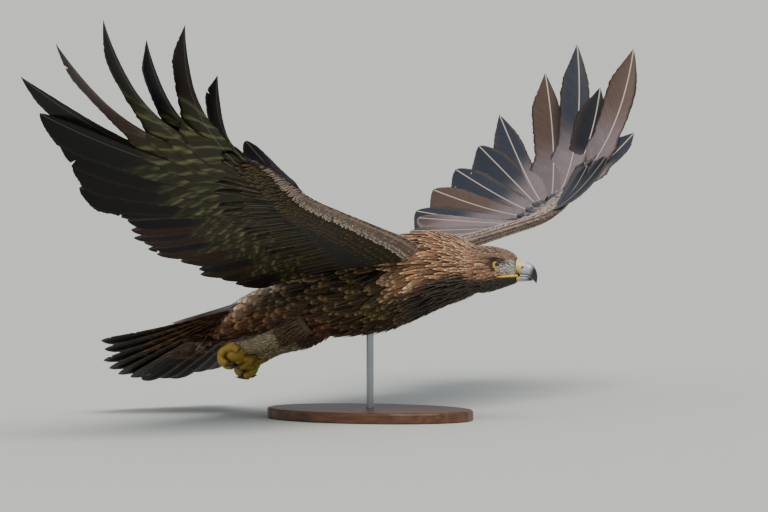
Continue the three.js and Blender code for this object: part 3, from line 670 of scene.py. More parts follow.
def body_colours(row, angle):
    """Centre, edge and tip colours of the body's feathers by place."""
    up = np.sin(angle)
    arc = np.interp(row, np.arange(len(BODY)), BODY_ARC)
    neck_from, head_from = BODY_ARC[NECK_START], BODY_ARC[HEAD_START]
    # Blackish brown with thin golden edges below, greyer above, and warmer on the flanks
    coat = [mix(a, b, smoothstep(up, 0.3, 0.9)) for a, b in TORSO_TONES]
    flank = smoothstep(up, 0.1, -0.75) * (1 - smoothstep(arc, neck_from - 190, neck_from - 70)) * 0.9
    # Tawny rump and vent with pale tips above
    rear = 1 - smoothstep(arc, 60, 150)
    # Tawny gold hackles above a black throat
    neck = smoothstep(arc, neck_from - 60, neck_from + 6)
    border = lerp(-0.5, -0.25, smoothstep(arc, neck_from, head_from))
    gold = smoothstep(up - border + 0.06 * np.sin(arc * 0.21 + 9 * up), -0.12, 0.16)
    above_rump = smoothstep(up, -0.1, 0.5)
    layers = [(FLANK_TONES, gold, flank), (RUMP_TONES, above_rump, rear), (NECK_TONES, gold, neck)]
    for tones, above, share in layers:
        coat = [mix(old, mix(a, b, above), share) for old, (a, b) in zip(coat, tones)]
    return coat


def head_colours(hx, hz, centre, edge, tip):
    """Colours of the head's small feathers by place in the head's own frame."""
    near = lambda x, z, rx, rz: np.exp(-(((hx - x) / rx) ** 2 + ((hz - z) / rz) ** 2))
    crown = smoothstep(hz, 8, 22)
    throat = smoothstep(hz - 0.12 * hx, -19, -25)
    lores = np.clip(1.5 * near(24, -5, 11, 9), 0, 1)
    cheek = np.clip(1.2 * near(-13, -1, 4, 9), 0, 1) * 0.8
    # A dark band along the brow ridge over the eye: the brow's own dark feathers, deepened as painted shade
    # under the ridge's overhang
    dark = np.clip(1.5 * near(8, 8.5 - 0.16 * (hx - 3), 17, 3.4), 0, 1)
    around = np.clip(1.6 * near(1, 0, 12, 10), 0, 1) * (1 - lores)
    face, rim = mix(0x66422A, 0x3A2A22, crown), mix(0xC8946A, 0xB4927C, crown)
    face, rim = mix(face, 0x100D0B, throat), mix(rim, 0x1E1814, throat)
    face, rim = mix(face, 0x9C9896, lores), mix(rim, 0xDAD6D2, lores)
    rim = mix(rim, 0xE0C6A4, cheek)
    face, rim = mix(face, 0x17100C, dark), mix(rim, 0x33261E, dark)
    face = mix(face, 0x2A1C14, around * 0.7)
    on = smoothstep(hx, -40, -14)
    return mix(centre, face, on), mix(edge, rim, on), mix(tip, rim, on)


def brow_rise(h):
    """How far the ridge over the eye lifts the coat, by place in the head's own frame."""
    over = h[..., 2] - (8.0 - 0.16 * (h[..., 0] - 3))
    return 5.6 * np.exp(-(((h[..., 0] - 4) / 15) ** 2) - (over / 3.2) ** 2)


def inside_head(points):
    return placed(points, HEAD_FRAME.inverted())


# How far the skin lies inside the coat
SKIN_DEPTH = 2.5


def body_skin():
    row, angle = np.meshgrid(np.arange(len(BODY), dtype=float), RING_ANGLES, indexing="ij")
    _, _, out = body_frame(row, angle)
    points = BODY + out * (brow_rise(inside_head(BODY)) - SKIN_DEPTH)[..., None]
    piece = loft("body_skin", to_world(points), UNDERCOAT)
    h = inside_head(BODY.reshape(-1, 3))
    colours = head_colours(h[:, 0], h[:, 2], *body_colours(row.ravel(), angle.ravel()))
    # The skin takes the feathers' middle colour a fifth darker: painted shade in the slits between feathers
    return painted(piece, colours[0] * 0.8)


def wing_flesh(side, name):
    s = np.linspace(44, HAND_END, 40)[:, None] + np.zeros((1, 24))
    angle = full_turn(24)[None, :]
    edge, chord, thickness = flesh_at(s)
    full = 0.62 + 0.38 * np.cos(angle)
    x = edge - 2 - (chord - 4) * (1 - np.cos(angle)) / 2
    z = (thickness * 0.5 - 2) * np.sin(angle) * full
    piece = loft(name, to_world(wing_point(side, s, x, z)), UNDERCOAT)
    above = np.broadcast_to(np.sin(angle), x.shape)[..., None] > 0
    tone = np.where(above, colour(0x4A3C34), colour(0x1C1710))
    front = np.broadcast_to(smoothstep(np.cos(angle), 0.6, 0.9), x.shape)
    return painted(piece, mix(tone, 0x8A7668, front).reshape(-1, 3))


# Body feathers: rows that start at the face and lie back along the body

SMALL = dict(places=(0, 0.3, 0.6, 0.82, 0.94, 1), across=(-1, -0.5, 0, 0.5, 1), thickness=0.12)
TINY = dict(places=(0, 0.4, 0.75, 1), across=(-1, 0, 1), thickness=0.08)


# No feather roots this near the eye's middle or the mouth's line
EYE_GAP = 10.5
MOUTH = -18.6
MOUTH_GAP = 1.6
# Some feathers are darker by half, as dark streaks in the coat
STREAKED = 0.22


def body_coat(name, arc_from, arc_to, length_at, width_share, template, lift, pointed, vary):
    spacing, crowd = 0.33, 0.6
    plumes = Plumes(**template)
    rows, angles = [], []
    arc = arc_to
    while arc > arc_from:
        length = float(length_at(arc))
        row = float(BODY_ROW_AT(arc))
        ring = body_at(np.full(RING, row), RING_ANGLES)
        around = np.linalg.norm(np.roll(ring, -1, 0) - ring, axis=1).sum()
        count = max(6, int(around / (length * width_share * crowd)))
        turn = rng.uniform(0, 2 * math.pi)
        rows.append(np.full(count, arc) + rng.uniform(-0.3, 0.3, count) * length * spacing)
        angles.append(turn + (np.arange(count) + rng.uniform(-0.3, 0.3, count)) / count * 2 * math.pi)
        arc -= length * spacing
    arc, angle = np.concatenate(rows), np.concatenate(angles) % (2 * math.pi)
    row = BODY_ROW_AT(np.clip(arc, 0, BODY_ARC[-1]))
    root = body_at(row, angle)
    keep = np.ones(len(arc), bool)
    h = inside_head(root)
    if arc_to > BODY_ARC[HEAD_START]:
        eye = np.hypot(h[:, 0] - 1, h[:, 2]) < EYE_GAP
        mouth = (h[:, 0] > 0) & (np.abs(h[:, 2] - MOUTH) < MOUTH_GAP)
        keep &= ~(eye & (np.abs(h[:, 1]) > 12)) & ~(mouth & (np.abs(h[:, 1]) > 8))
    arc, angle, row, root, h = arc[keep], angle[keep], row[keep], root[keep], h[keep]
    count = len(arc)
    length = length_at(arc) * rng.uniform(0.75, 1.2, count)
    width = length * width_share * rng.uniform(0.75, 1.2, count)
    places = plumes.places
    run = arc[:, None] - length[:, None] * places
    swerve = rng.normal(0, 0.1, count)[:, None] * places * length[:, None] / 60
    below = np.clip(-run, 0, None)
    rows_at, angles_at = BODY_ROW_AT(np.clip(run, 0, None)), angle[:, None] + swerve
    back, around, out = body_frame(rows_at, angles_at)
    raise_by = lerp(-SKIN_DEPTH - 0.6, lift, places)[None, :, None] * rng.uniform(0.7, 1.1, (count, 1, 1))
    surface = body_at(rows_at, angles_at)
    raise_by = raise_by + brow_rise(inside_head(surface))[..., None]
    centre_line = surface + out * raise_by + back * below[..., None]
    shape = vane_shape(places, pointed, base=0.5, tip=0.1)[None].repeat(count, 0)
    centre, edge, tip = body_colours(row, angle)
    centre, edge, tip = head_colours(h[:, 0], h[:, 2], centre, edge, tip)
    streak = np.where(rng.uniform(size=(count, 1)) < STREAKED, 0.5, 1.0)
    centre, edge, tip = centre * streak, edge * streak, tip * lerp(1, streak, 0.5)
    colours = paint(plumes, count, centre, edge, tip, edge_width=0.75, tip_from=0.8, shaft=0.1, vary=vary)
    home = np.stack([arc / (BODY_ARC[-1] + 1), angle / (2 * math.pi)], 1)
    lead = unit(np.cross(out, back))
    plumes.add(centre_line, lead, out, length, width, shape, colours, colours * SHADED, home, camber=0.18)
    return plumes.make(name, SOFT_FEATHER)


def torso_length(arc):
    neck_from = BODY_ARC[NECK_START]
    rear = lerp(78, 56, smoothstep(arc, 30, 120))
    return np.where(arc < 120, rear, lerp(56, 44, smoothstep(arc, neck_from - 220, neck_from)))


def neck_length(arc):
    return lerp(50, 22, smoothstep(arc, BODY_ARC[NECK_START] - 20, BODY_ARC[HEAD_START] + 20))


def head_length(arc):
    return lerp(22, 8.5, smoothstep(arc, BODY_ARC[HEAD_START] + 6, BODY_ARC[-1] - 8))


# Wing feathers

FLIGHT = dict(
    places=np.linspace(0, 1, 80) ** 0.85,
    across=(-1, -0.85, -0.55, -0.25, 0, 0.3, 0.7, 1),
    thickness=0.35,
    slant=0.55,
)
COVERT = dict(places=(0, 0.25, 0.5, 0.72, 0.86, 0.95, 1), across=(-1, -0.5, 0, 0.5, 1), thickness=0.15)


def secondary_fan(s):
    u = np.clip((s - SECONDARY_ROOTS[0]) / (SECONDARY_ROOTS[1] - SECONDARY_ROOTS[0]), 0, 1)
    return lerp(*SECONDARY_FAN, u**1.4)


def covert_fan(side, s):
    """The way the feathers point at s, carried on smoothly from the secondaries to the primaries."""
    fans = np.radians(FINGERS[side]["fans"])
    hand = np.interp(s, np.linspace(*PRIMARY_ROOTS, PRIMARIES), fans)
    return np.where(s < PRIMARY_ROOTS[0] - 8, secondary_fan(s), np.maximum(hand, math.radians(-6)))


def split(shape, count, places, splits, from_t=0.5, ragged=0.02):
    """Widths of the trailing and leading vane with a ragged rim and narrow splits between barbs."""
    shape = np.broadcast_to(shape, (count, len(places)))
    out = shape[..., None] * (1 + ragged * rng.standard_normal((count, len(places), 2)))
    for i in range(count):
        for _ in range(rng.poisson(splits)):
            row = np.searchsorted(places, rng.uniform(from_t, 0.95))
            edge = int(rng.uniform() < 0.3)
            out[i, row, edge] *= rng.uniform(0.35, 0.75)
            out[i, row + 1 :, edge] *= 1 - rng.uniform(0, 0.06)
    return out


def flight_colours(plumes, count, base, end, end_from, rim, shaft, mottle=0, mottle_colour=0, rim_from=0.7):
    """Colours of flight feathers: base, end and rim, with broken bars of the mottle's colour."""
    v = plumes.places[None, :, None]
    u = plumes.across[None, None, :]
    v, u = np.broadcast_arrays(v, u)
    tones = (colour(c) if isinstance(c, int) else c for c in (base, end, rim, mottle_colour))
    base, end, rim, mottle_colour = (np.broadcast_to(c, (count, 3))[:, None, None, :] for c in tones)
    low, high = end_from
    start = rng.normal(0, 0.05, (count, 1, 1))
    mixed = lerp(base, end, smoothstep(v + start, low, high)[..., None])
    border = smoothstep(np.maximum(np.abs(u), (v - 0.93) / 0.07), rim_from, 1) * 0.85
    mixed = lerp(mixed, rim, border[..., None])
    if mottle:
        # Broken bars across the pale part of the vane
        phase = rng.uniform(0, 6, (count, 1, 1)) + 2.2 * u
        phase = phase + rng.normal(0, 0.9, (count, 1, len(plumes.across)))
        waves = np.sin(v * 63 + phase) + 0.8 * np.sin(v * 131 + 3 * phase) + 0.4 * np.sin(v * 29 - 2 * phase)
        bars = rng.uniform(0.45, 1, (count, 1, 1)) * smoothstep(waves, 0.2, 1.5)
        mask = bars * (1 - smoothstep(v + start, low, high)) * smoothstep(v, 0.1, 0.2) * mottle
        mixed = lerp(mixed, np.asarray(mottle_colour), mask[..., None])
    mixed = mixed * (1 + 0.12 * rng.standard_normal((count, 1, 1, 1)))
    alpha = np.full(mixed.shape[:3] + (1,), shaft)
    return np.concatenate([np.clip(mixed, 0.002, 1), alpha], -1)


# How far behind the leading edge the quills root, as a share of the chord
SECONDARY_SET_BACK = 0.72


def home_at(s, share):
    """A root's place on the map of a wing: how far out, and how far back."""
    return np.stack(np.broadcast_arrays(s / WING_REACH, share), 1)


def add_secondaries(plumes, side):
    places, count = plumes.places, SECONDARIES
    u = np.arange(count) / (count - 1)
    s = lerp(*SECONDARY_ROOTS, u)
    edge, chord, _ = flesh_at(s)
    x = edge - chord * SECONDARY_SET_BACK
    fan = secondary_fan(s)
    length = (x - table_at(TRAILING_EDGE, s)[..., 0]) / np.sin(fan) * rng.uniform(0.96, 1.04, count)
    fan = fan + rng.normal(0, 0.012, count)
    lift = -TRAILING_LIFT[side] * u**2 + rng.normal(0, 0.008, count)
    lean = SHINGLE_TILT + rng.normal(0.04, 0.03, count)
    rise = wing_slope(s) + LAST_SECONDARY_RISE * u**6
    tilt = lambda t: lean * (0.6 + 0.8 * t)
    line, lead, up = shafts(side, s, x, 0, fan, length, places, FEATHER_BOW, rise, droop=lift, tilt=tilt)
    shape = split(vane_shape(places, 0.2, tip=0.06, sharp=0.25), count, places, 0.2, 0.8)
    worn = rng.uniform(size=(count, 1)) < 0.3
    dark = np.where(worn, colour(0x2E1A0E), colour(0x0B0806))
    top = flight_colours(plumes, count, 0x7A6C6C, 0x4E4240, (0.7, 1), 0x9A8C86, 0.75)
    # Undersides: the vanes' own barred pattern, darkened and turned olive and green as painted shade and
    # painted reflected light
    under = flight_colours(plumes, count, 0x2C2814, dark, (0.5, 0.68), 0x44260F, 0.12, 0.9, 0x6E7248, 0.82)
    width = lerp(*SECONDARY_WIDTH, u)
    home = home_at(s, 0.72)
    plumes.add(line, lead, up, length, width, shape, top, under, home, lead_share=0.36, camber=0.1)


SLATE, BROWN, BLACK = 0x2A2E38, 0x54433A, 0x1A1A1E
PRIMARY_SET_BACK = 0.62
# Each primary's colour towards its tip, from the innermost out
TIPS_ABOVE = (SLATE, BROWN, SLATE, SLATE, SLATE, BROWN, SLATE, BLACK, BROWN, SLATE)
TIPS_BELOW = (
    (0x0C0908, 0x120B07, 0x0C0908, 0x0B0807, 0x0B0B08)
    + (0x2E1508, 0x17130F, 0x0B0E10, 0x1E1410, 0x17100D)
)


def add_primaries(plumes, side):
    places, count, hand = plumes.places, PRIMARIES, FINGERS[side]
    i = np.arange(count)
    s = lerp(*PRIMARY_ROOTS, i / (count - 1))
    edge, chord, _ = flesh_at(s)
    x = edge - chord * PRIMARY_SET_BACK
    finger, last = (i >= FIRST_FINGER).astype(float), i == count - 1
    width = np.where(last, hand["width"] * LAST_FINGER_WIDTH, hand["width"])
    turn = hand["twist"] * np.where(i == FIRST_FINGER, FIRST_FINGER_TWIST, 1)

    def tilt(t):
        twisted = np.where(last, smoothstep(t, *LEADING_TWIST_SPAN), smoothstep(t, *TWIST_SPAN))
        return SHINGLE_TILT + finger * turn * twisted

    length = np.array(hand["lengths"], float)
    bow = np.where(finger > 0, hand["bow"], FEATHER_BOW)
    fans, rises, bends = np.radians(hand["fans"]), np.radians(hand["slopes"]), np.array(hand["bends"])
    line, lead, up = shafts(side, s, x, 0, fans, length, places, bow, rises, bends, tilt=tilt)
    sharp = np.clip((i - FIRST_FINGER + 2) / 2, 0.3, 0.9)
    outline = lambda f, p: vane_shape(places, 0.26, tip=0.03, notch=FINGER_NOTCH * f, sharp=p)
    shape = split(np.array([outline(f, p) for f, p in zip(finger, sharp)]), count, places, 0.45, 0.6)
    above, below = (np.array([colour(code) for code in codes]) for codes in (TIPS_ABOVE, TIPS_BELOW))
    top = flight_colours(plumes, count, 0x75686A, above, (0.4, 0.66), 0x5C4A40, 0.8, rim_from=0.8)
    # Undersides: the vanes' own barred pattern, darkened and turned olive and green as painted shade and
    # painted reflected light
    under = flight_colours(plumes, count, 0x2C2814, below, (0.42, 0.6), 0x2A180C, 0.12, 0.9, 0x70744C, 0.85)
    home = home_at(s, 0.62)
    plumes.add(line, lead, up, length, width, shape, top, under, home, lead_share=hand["lead"], camber=0.12)


def flight_feathers(side, name):
    plumes = Plumes(**FLIGHT)
    add_secondaries(plumes, side)
    add_primaries(plumes, side)
    return plumes.make(name, STIFF_FEATHER)


def flesh_height(s, x, face):
    """Half the flesh's thickness at a place on the wing, and a thin layer beyond its trailing edge."""
    edge, chord, thickness = flesh_at(s)
    across = np.clip((edge - x) / chord, 0, 1)
    cosine = 1 - 2 * across
    height = thickness * 0.5 * np.sqrt(np.clip(1 - cosine**2, 0, 1)) * (0.62 + 0.38 * cosine)
    return face * np.maximum(height, 1.0)


# Neighbouring coverts root this share of their width apart
COVERT_SPACING = 0.55


def covert_rows(side, face, name, rows):
    """Rows of coverts on one face of a wing. Each row is its place behind the leading edge as a share of the
    chord, its feathers' length and width, how high their tips ride, its span and its colours."""
    plumes = Plumes(**COVERT)
    for share, length, width, tips, (s_from, s_to), looks in rows:
        count = int((s_to - s_from) / (width * COVERT_SPACING))
        s = lerp(s_from, s_to, (np.arange(count) + rng.uniform(-0.25, 0.25, count)) / max(count - 1, 1))
        edge, chord, _ = flesh_at(s)
        x = edge - chord * share + rng.uniform(-0.05, 0.05, count) * length
        fan = covert_fan(side, s) + rng.normal(0, 0.05, count)
        reach = length * rng.uniform(0.88, 1.12, count)
        z = flesh_height(s, x, face) - face * 1.2
        end = flesh_height(s, x - reach * np.sin(fan), face) + face * tips
        droop = np.arctan((z - end) / reach)
        line, lead, up = shafts(side, s, x, z, fan, reach, plumes.places, droop=droop, tilt=lambda t: s * 0)
        if face < 0:
            up = -up
        shape = vane_shape(plumes.places, 0.32, base=0.55, tip=0.12)[None].repeat(count, 0)
        centre, rim, tip, edge_width, shaft = looks
        tones = (colour(c) for c in (centre, rim, tip))
        colours = paint(plumes, count, *tones, edge_width, 0.78, shaft, 0.14)
        home = home_at(s, 0.02 + 0.9 * np.clip(share, 0, 1))
        plumes.add(line, lead, up, reach, width, shape, colours, colours * SHADED, home, 0.45, 0.2)
    return plumes.make(name, SOFT_FEATHER)


SCALY = (0x4A3A32, 0xA8958A, 0xD2C0B2, 0.7, 0.1)
MAUVE = (0x5E5252, 0x8E807E, 0xB6A8A2, 0.6, 0.4)
GREATER = (0x665A5C, 0x8A7C7C, 0xB0A29C, 0.45, 0.6)
UPPER_ROWS = (
    [(0.0 + 0.07 * k, 17 + 2 * k, 13, 1.4 + 0.2 * k, (70, 604), SCALY) for k in range(6)]
    + [(0.44, 40, 22, 2.6, (78, 600), SCALY), (0.54, 50, 26, 3.0, (80, 600), MAUVE)]
    + [(0.66, 70, 30, 3.4, (84, 476), MAUVE), (0.7, 104, 36, 3.6, (90, 476), GREATER)]
    + [(0.55, 92, 27, 2.6, (474, 602), (0x48444C, 0x6A646C, 0x9A928E, 0.4, 0.2))]
    + [(0.74, 170, 44, 5.0, (78, 220), (0x6A5F60, 0x9A8C88, 0xC4B8B0, 0.5, 0.3))]
    + [(0.66, 112, 34, 6.0, (74, 240), (0x584A44, 0xA08E84, 0xD6C8BE, 0.6, 0.2))]
)
PALE_EDGE = (0x5E4C42, 0xB09C8C, 0xD8C6B4, 0.7, 0.1)
OLIVE = (0x1E190C, 0x44381C, 0x5A4824, 0.6, 0.1)
DUSK = (0x14110A, 0x2E2614, 0x40341A, 0.5, 0.15)
UNDER_ROWS = (
    [(0.0 + 0.04 * k, 16, 12, 1.2, (70, 600), PALE_EDGE) for k in range(3)]
    + [(0.14 + 0.08 * k, 24 + 3 * k, 16, 1.4, (74, 600), OLIVE) for k in range(5)]
    + [(0.56, 44, 22, 2.0, (78, 598), OLIVE), (0.68, 62, 28, 2.4, (80, 598), DUSK)]
    + [(0.78, 92, 34, 2.8, (86, 476), (0x2A2614, 0x0E0B08, 0x0C0907, 0.5, 0.2))]
    + [(0.7, 96, 28, 2.4, (482, 600), (0x2A2614, 0x100D08, 0x0C0907, 0.5, 0.2))]
)


# The thumb's feathers, and on the far wing the dark ones behind them: how many, roots, lengths, turns from
# the thumb's way, width
THUMB = (3, (486, 520), (160, 105), (0, 12), 34)
THUMB_TIERS = {1: (THUMB, (6, (492, 574), (118, 84), (9, 16), 30)), -1: (THUMB,)}
# How far the thumb's feathers curve up and turn over, and their colours at the base and the end
THUMB_RISE = {1: math.radians(34), -1: math.radians(24)}
THUMB_TURN = {1: math.radians(-12), -1: 0.0}
THUMB_COLOURS = {1: (0x32353D, 0x1C1E24), -1: (0x8A879A, 0x3A3A44)}


def alula(side, name):
    plumes = Plumes(**FLIGHT)
    tilt = lambda t: SHINGLE_TILT + THUMB_TURN[side] * smoothstep(t, 0, 0.5) + 0 * s
    for tier, (count, roots, lengths, turns, width) in enumerate(THUMB_TIERS[side]):
        u = np.linspace(0, 1, count)
        s = lerp(*roots, u)
        edge, chord, thickness = flesh_at(s)
        x, z = edge - chord * 0.1, thickness * 0.3
        length = lerp(*lengths, u) * rng.uniform(0.95, 1.05, count)
        fan = FINGERS[side]["thumb"] + np.radians(lerp(*turns, u))
        rise = wing_slope(s) + THUMB_RISE[side]
        line, lead, up = shafts(side, s, x, z, fan, length, plumes.places, 0.0, rise, 0.6, tilt=tilt)
        shape = split(vane_shape(plumes.places, 0.4, tip=0.06), count, plumes.places, 0.3, 0.6)
        top = flight_colours(plumes, count, *THUMB_COLOURS[side], (0.4, 0.9), 0x6A645E, 0.3)
        home = home_at(s, 0.1 + 0.05 * tier)
        plumes.add(line, lead, up, length, width, shape, top, top * SHADED, home, 0.4, 0.12)
    return plumes.make(name, STIFF_FEATHER)


# Tail


def add_on_tail(plumes, point, lead, up, *looks, **shares):
    plumes.add(placed(point, TAIL_FRAME), turned(lead, TAIL_FRAME), turned(up, TAIL_FRAME), *looks, **shares)


def tail_feathers():
    plumes = Plumes(**FLIGHT)
    count = RECTRICES
    u = ((np.arange(count) + 0.5) / count * 2 - 1)[:, None]
    fan = TAIL_FAN * u + rng.normal(0, 0.01, (count, 1))
    t = plumes.places[None, :]
    reach = 20 + t * TAIL_LENGTH * (1 - TAIL_ROUNDING * u * u) * rng.uniform(0.97, 1.03, (count, 1))
    height = np.abs(u) * -3.2 + TAIL_CUP * t * reach * u * u
    point = np.stack([-reach * np.cos(fan), reach * np.sin(fan) + u * 16, height], -1)
    tilt = np.sign(u) * SHINGLE_TILT
    lead = np.stack([np.sin(fan) * np.cos(tilt), np.cos(fan) * np.cos(tilt), -np.sin(tilt)], -1)
    up = np.stack([np.sin(fan) * np.sin(tilt), np.cos(fan) * np.sin(tilt), np.cos(tilt)], -1)
    lead, up = np.broadcast_to(lead, point.shape), np.broadcast_to(up, point.shape)
    shape = split(vane_shape(plumes.places, 0.16, tip=0.06), count, plumes.places, 1.6, 0.6, 0.03)
    share = np.where(u[:, 0] > 0, 0.4, 0.6)
    top = flight_colours(plumes, count, 0x8E7E7A, 0x2E2420, (0.62, 0.8), 0xA8988E, 0.6)
    under = flight_colours(
        plumes, count, 0x2E2015, 0x0C0907, (0.55, 0.78), 0x8E6C4C, 0.12, 1.0, 0x96683F, 0.86
    )
    home = np.stack([0.5 + 0.48 * u[:, 0], np.full(count, 0.03)], 1)
    length, width = np.full(count, TAIL_LENGTH), TAIL_FEATHER_WIDTH
    vane = {"lead_share": share, "camber": 0.08}
    add_on_tail(plumes, point, lead, up, length, width, shape, top, under, home, **vane)
    return plumes.make("tail_feathers", STIFF_FEATHER)


def tail_coverts():
    """Long pale feathers over the root of the tail."""
    plumes = Plumes(**COVERT)
    count = 26
    u = np.linspace(-0.92, 0.92, count)[:, None]
    t = plumes.places[None, :]
    length = rng.uniform(95, 150, (count, 1))
    reach = rng.uniform(-14, 16, (count, 1)) + t * length
    fan = TAIL_FAN * u
    height = lerp(5, 2.2, t) + TAIL_CUP * reach * reach / TAIL_LENGTH * u * u
    point = np.stack(np.broadcast_arrays(-reach * np.cos(fan), reach * np.sin(fan) + u * 18, height), -1)
    lead = np.stack(np.broadcast_arrays(np.sin(fan), np.cos(fan), 0 * reach), -1)
    up = np.broadcast_to(np.array([0.0, 0.0, 1.0]), lead.shape)
    shape = vane_shape(plumes.places, 0.5, base=0.5, tip=0.08)[None].repeat(count, 0)
    tones = (colour(c) for c in (0xA394A0, 0xD2C6CC, 0xE8DCD6))
    colours = paint(plumes, count, *tones, 0.6, 0.75, 0.3, 0.12)
    home = np.stack([0.5 + 0.45 * u[:, 0], np.full(count, 0.9)], 1)
    add_on_tail(plumes, point, lead, up, length[:, 0], 22, shape, colours, colours, home)
    return plumes.make("tail_upper_coverts", SOFT_FEATHER)


# Bare parts


def ring_section(top, bottom, half, sides=72):
    angle = full_turn(sides)
    share = (1 + np.sin(angle)) / 2
    x, z = (lerp(low, high, share) for low, high in zip(bottom, top))
    return np.stack([x, half * np.cos(angle), z], -1)


def smooth_rows(rows, count):
    rows = np.array(rows, float)
    steps = distances(rows)
    return table_at(np.column_stack([steps, rows]), np.linspace(0, steps[-1], count))


def on_head(points):
    return to_world(placed(points, HEAD_FRAME))


# Cere and bill, each row front to back: x and height of the top, x and height of the underside, half width
CERE_ROWS = [
    (30, 12, 30, -13.4, 14.6),
    (34, 9, 33.3, -15, 13),
    (40, 7.6, 40, -15.6, 11.2),
    (45.9, 5.8, 45.6, -16, 9.5),
]
UPPER_BILL = [
    (45.6, 5.4, 45.6, -16.3, 9.3),
    (51.8, 3.2, 50.6, -18.9, 8.3),
    (57, -1.6, 54.4, -22.3, 6.9),
    (60.6, -8.2, 57, -25, 5.2),
    (62.6, -15.6, 58.6, -26.7, 3.5),
    (62.8, -22.6, 59.6, -27.6, 2),
    (61.6, -29.2, 60.2, -29.8, 0.7),
]
# The fold along the corner of the mouth: x, share of the head's half width, height
GAPE = [(0, 0.9, -20.2), (9, 0.95, -19.5), (19, 0.99, -18.6), (27, 1, -17.9), (33, 0.98, -17.2)]
LOWER_BILL = [
    (30, -17.2, 30, -26.8, 12),
    (43, -16.9, 43, -26, 8.8),
    (50, -19.1, 50, -25.4, 6),
    (53.4, -22, 53.4, -25, 3.5),
    (55, -23.8, 55, -24.7, 1.3),
]


def bill_part(name, rows, count, look, tone_at):
    rings = np.array([ring_section(row[:2], row[2:4], row[4]) for row in smooth_rows(rows, count)])
    return painted(loft(name, on_head(rings), look), tone_at(rings.reshape(-1, 3)))


def upper_bill_tone(p):
    rows = np.array(UPPER_BILL)
    above_edge = p[:, 2] - np.interp(p[:, 0], rows[:-1, 2], rows[:-1, 3])
    tone = mix(0xAEB8BE, 0x10141A, smoothstep(p[:, 0] - 0.3 * (p[:, 2] + 8), 47.5, 59))
    tone = mix(tone, 0x5E6A74, 0.5 * smoothstep(p[:, 2], 0, 5))
    # Dark along the lower edge, where it meets the lower bill: painted shade along the mouth's line
    return mix(0x14171C, tone, smoothstep(above_edge, 1, 3.4))


def lower_bill_tone(p):
    rows = np.array(LOWER_BILL)
    below_edge = np.interp(p[:, 0], rows[:, 0], rows[:, 1]) - p[:, 2]
    tone = mix(0xB9A258, 0x868D90, smoothstep(p[:, 0], 34, 39))
    tone = mix(tone, 0x14171C, smoothstep(p[:, 0], 43, 51))
    # Dark along the upper edge, under the upper bill: painted shade along the mouth's line
    return mix(0x191B1E, tone, smoothstep(below_edge, 0.6, 2.2))


def cere_tone(p):
    pale = smoothstep(p[:, 0] - 0.35 * p[:, 2], 37, 46)
    tone = mix(mix(0xCDB058, 0xDACB8C, smoothstep(p[:, 2], -8, 6)), 0xAEB8BE, pale)
    # The nostril is a near-black oval painted on the cere: painted shade standing in for the opening's dark
    # inside
    slit = np.hypot((p[:, 0] - 40.2 - (p[:, 2] + 3.5) * 0.7) / 2.0, (p[:, 2] + 3.5) / 2.6)
    return mix(tone, 0x070605, 1 - smoothstep(slit, 0.7, 1.1))


def eye_place(side):
    """The eye's middle, the way it looks and the way across it."""
    c, s = math.cos(EYE_FORWARD), math.sin(EYE_FORWARD)
    return np.array([0, side * EYE_OUT, 0]), np.array([s, side * c, 0]), np.array([c, -side * s, 0])


def eyeball(side, name):
    """A ball whose rings run out from the pupil, so that its colours follow them."""
    centre, axis, across = eye_place(side)
    # Finer over the iris and the pupil than behind them
    polar = np.concatenate([np.linspace(0.02, 0.75, 40), np.linspace(0.8, math.pi - 0.02, 20)])
    around = full_turn(48)
    ring = np.cos(around)[:, None] * across + np.sin(around)[:, None] * [0, 0, 1]
    out = np.cos(polar)[:, None, None] * axis + np.sin(polar)[:, None, None] * ring
    piece = loft(name, on_head(centre + out * EYE_RADIUS), EYE)
    radius = (np.sin(polar) * EYE_RADIUS)[:, None] + 0 * around
    streaks = 1 + 0.18 * np.sin(around * 17 + 3 * np.sin(around * 5))[None, :]
    iris = mix(0xD6AA2C, 0x96741C, smoothstep(radius, 5.6, 8.0)) * streaks[..., None]
    tone = mix(mix(0x030303, iris, smoothstep(radius, 3.7, 4.1)), 0x0A0806, smoothstep(radius, 7.9, 8.6))
    return painted(piece, tone.reshape(-1, 3))


# How many rings a tube has along its path
RINGS = 24


def rings_along(points, radii, sides=20, flatten=1.0):
    """Rings square to a smooth path."""
    points = np.array(points, float)
    steps = distances(points)
    place = np.linspace(0, steps[-1], RINGS)
    line = table_at(np.column_stack([steps, points]), place)
    radius = np.interp(place / steps[-1], np.linspace(0, 1, len(radii)), radii)
    way = unit(np.gradient(line, axis=0))
    side = unit(np.cross(way, [0.13, 1, 0.05]))
    other = np.cross(way, side)
    c, s = (part(full_turn(sides))[None, :, None] for part in (np.cos, np.sin))
    radius = radius[:, None, None]
    return line[:, None] + radius * c * side[:, None] + flatten * radius * s * other[:, None]

def join(name, pieces):
    """One mesh of several closed ones, with their colours."""
    shape = bmesh.new()
    for piece in pieces:
        shape.from_mesh(piece.data)
    mesh = bpy.data.meshes.new(name)
    shape.to_mesh(mesh)
    shape.free()
    for used in {slot.material for piece in pieces for slot in piece.material_slots}:
        mesh.materials.append(used)
    for piece in pieces:
        bpy.data.objects.remove(piece, do_unlink=True)
    return put_in_scene(name, mesh)


def gape(side):
    half = table_at(HEAD, [row[0] for row in GAPE])[:, 2]
    line = [(x, side * wide * share, z) for (x, share, z), wide in zip(GAPE, half)]
    piece = loft("gape", on_head(rings_along(line, (0.3, 1.3, 1.7, 1.9, 1.5), flatten=0.8)), WAXY_SKIN)
    return painted(piece, colour(0xD9AE2C))

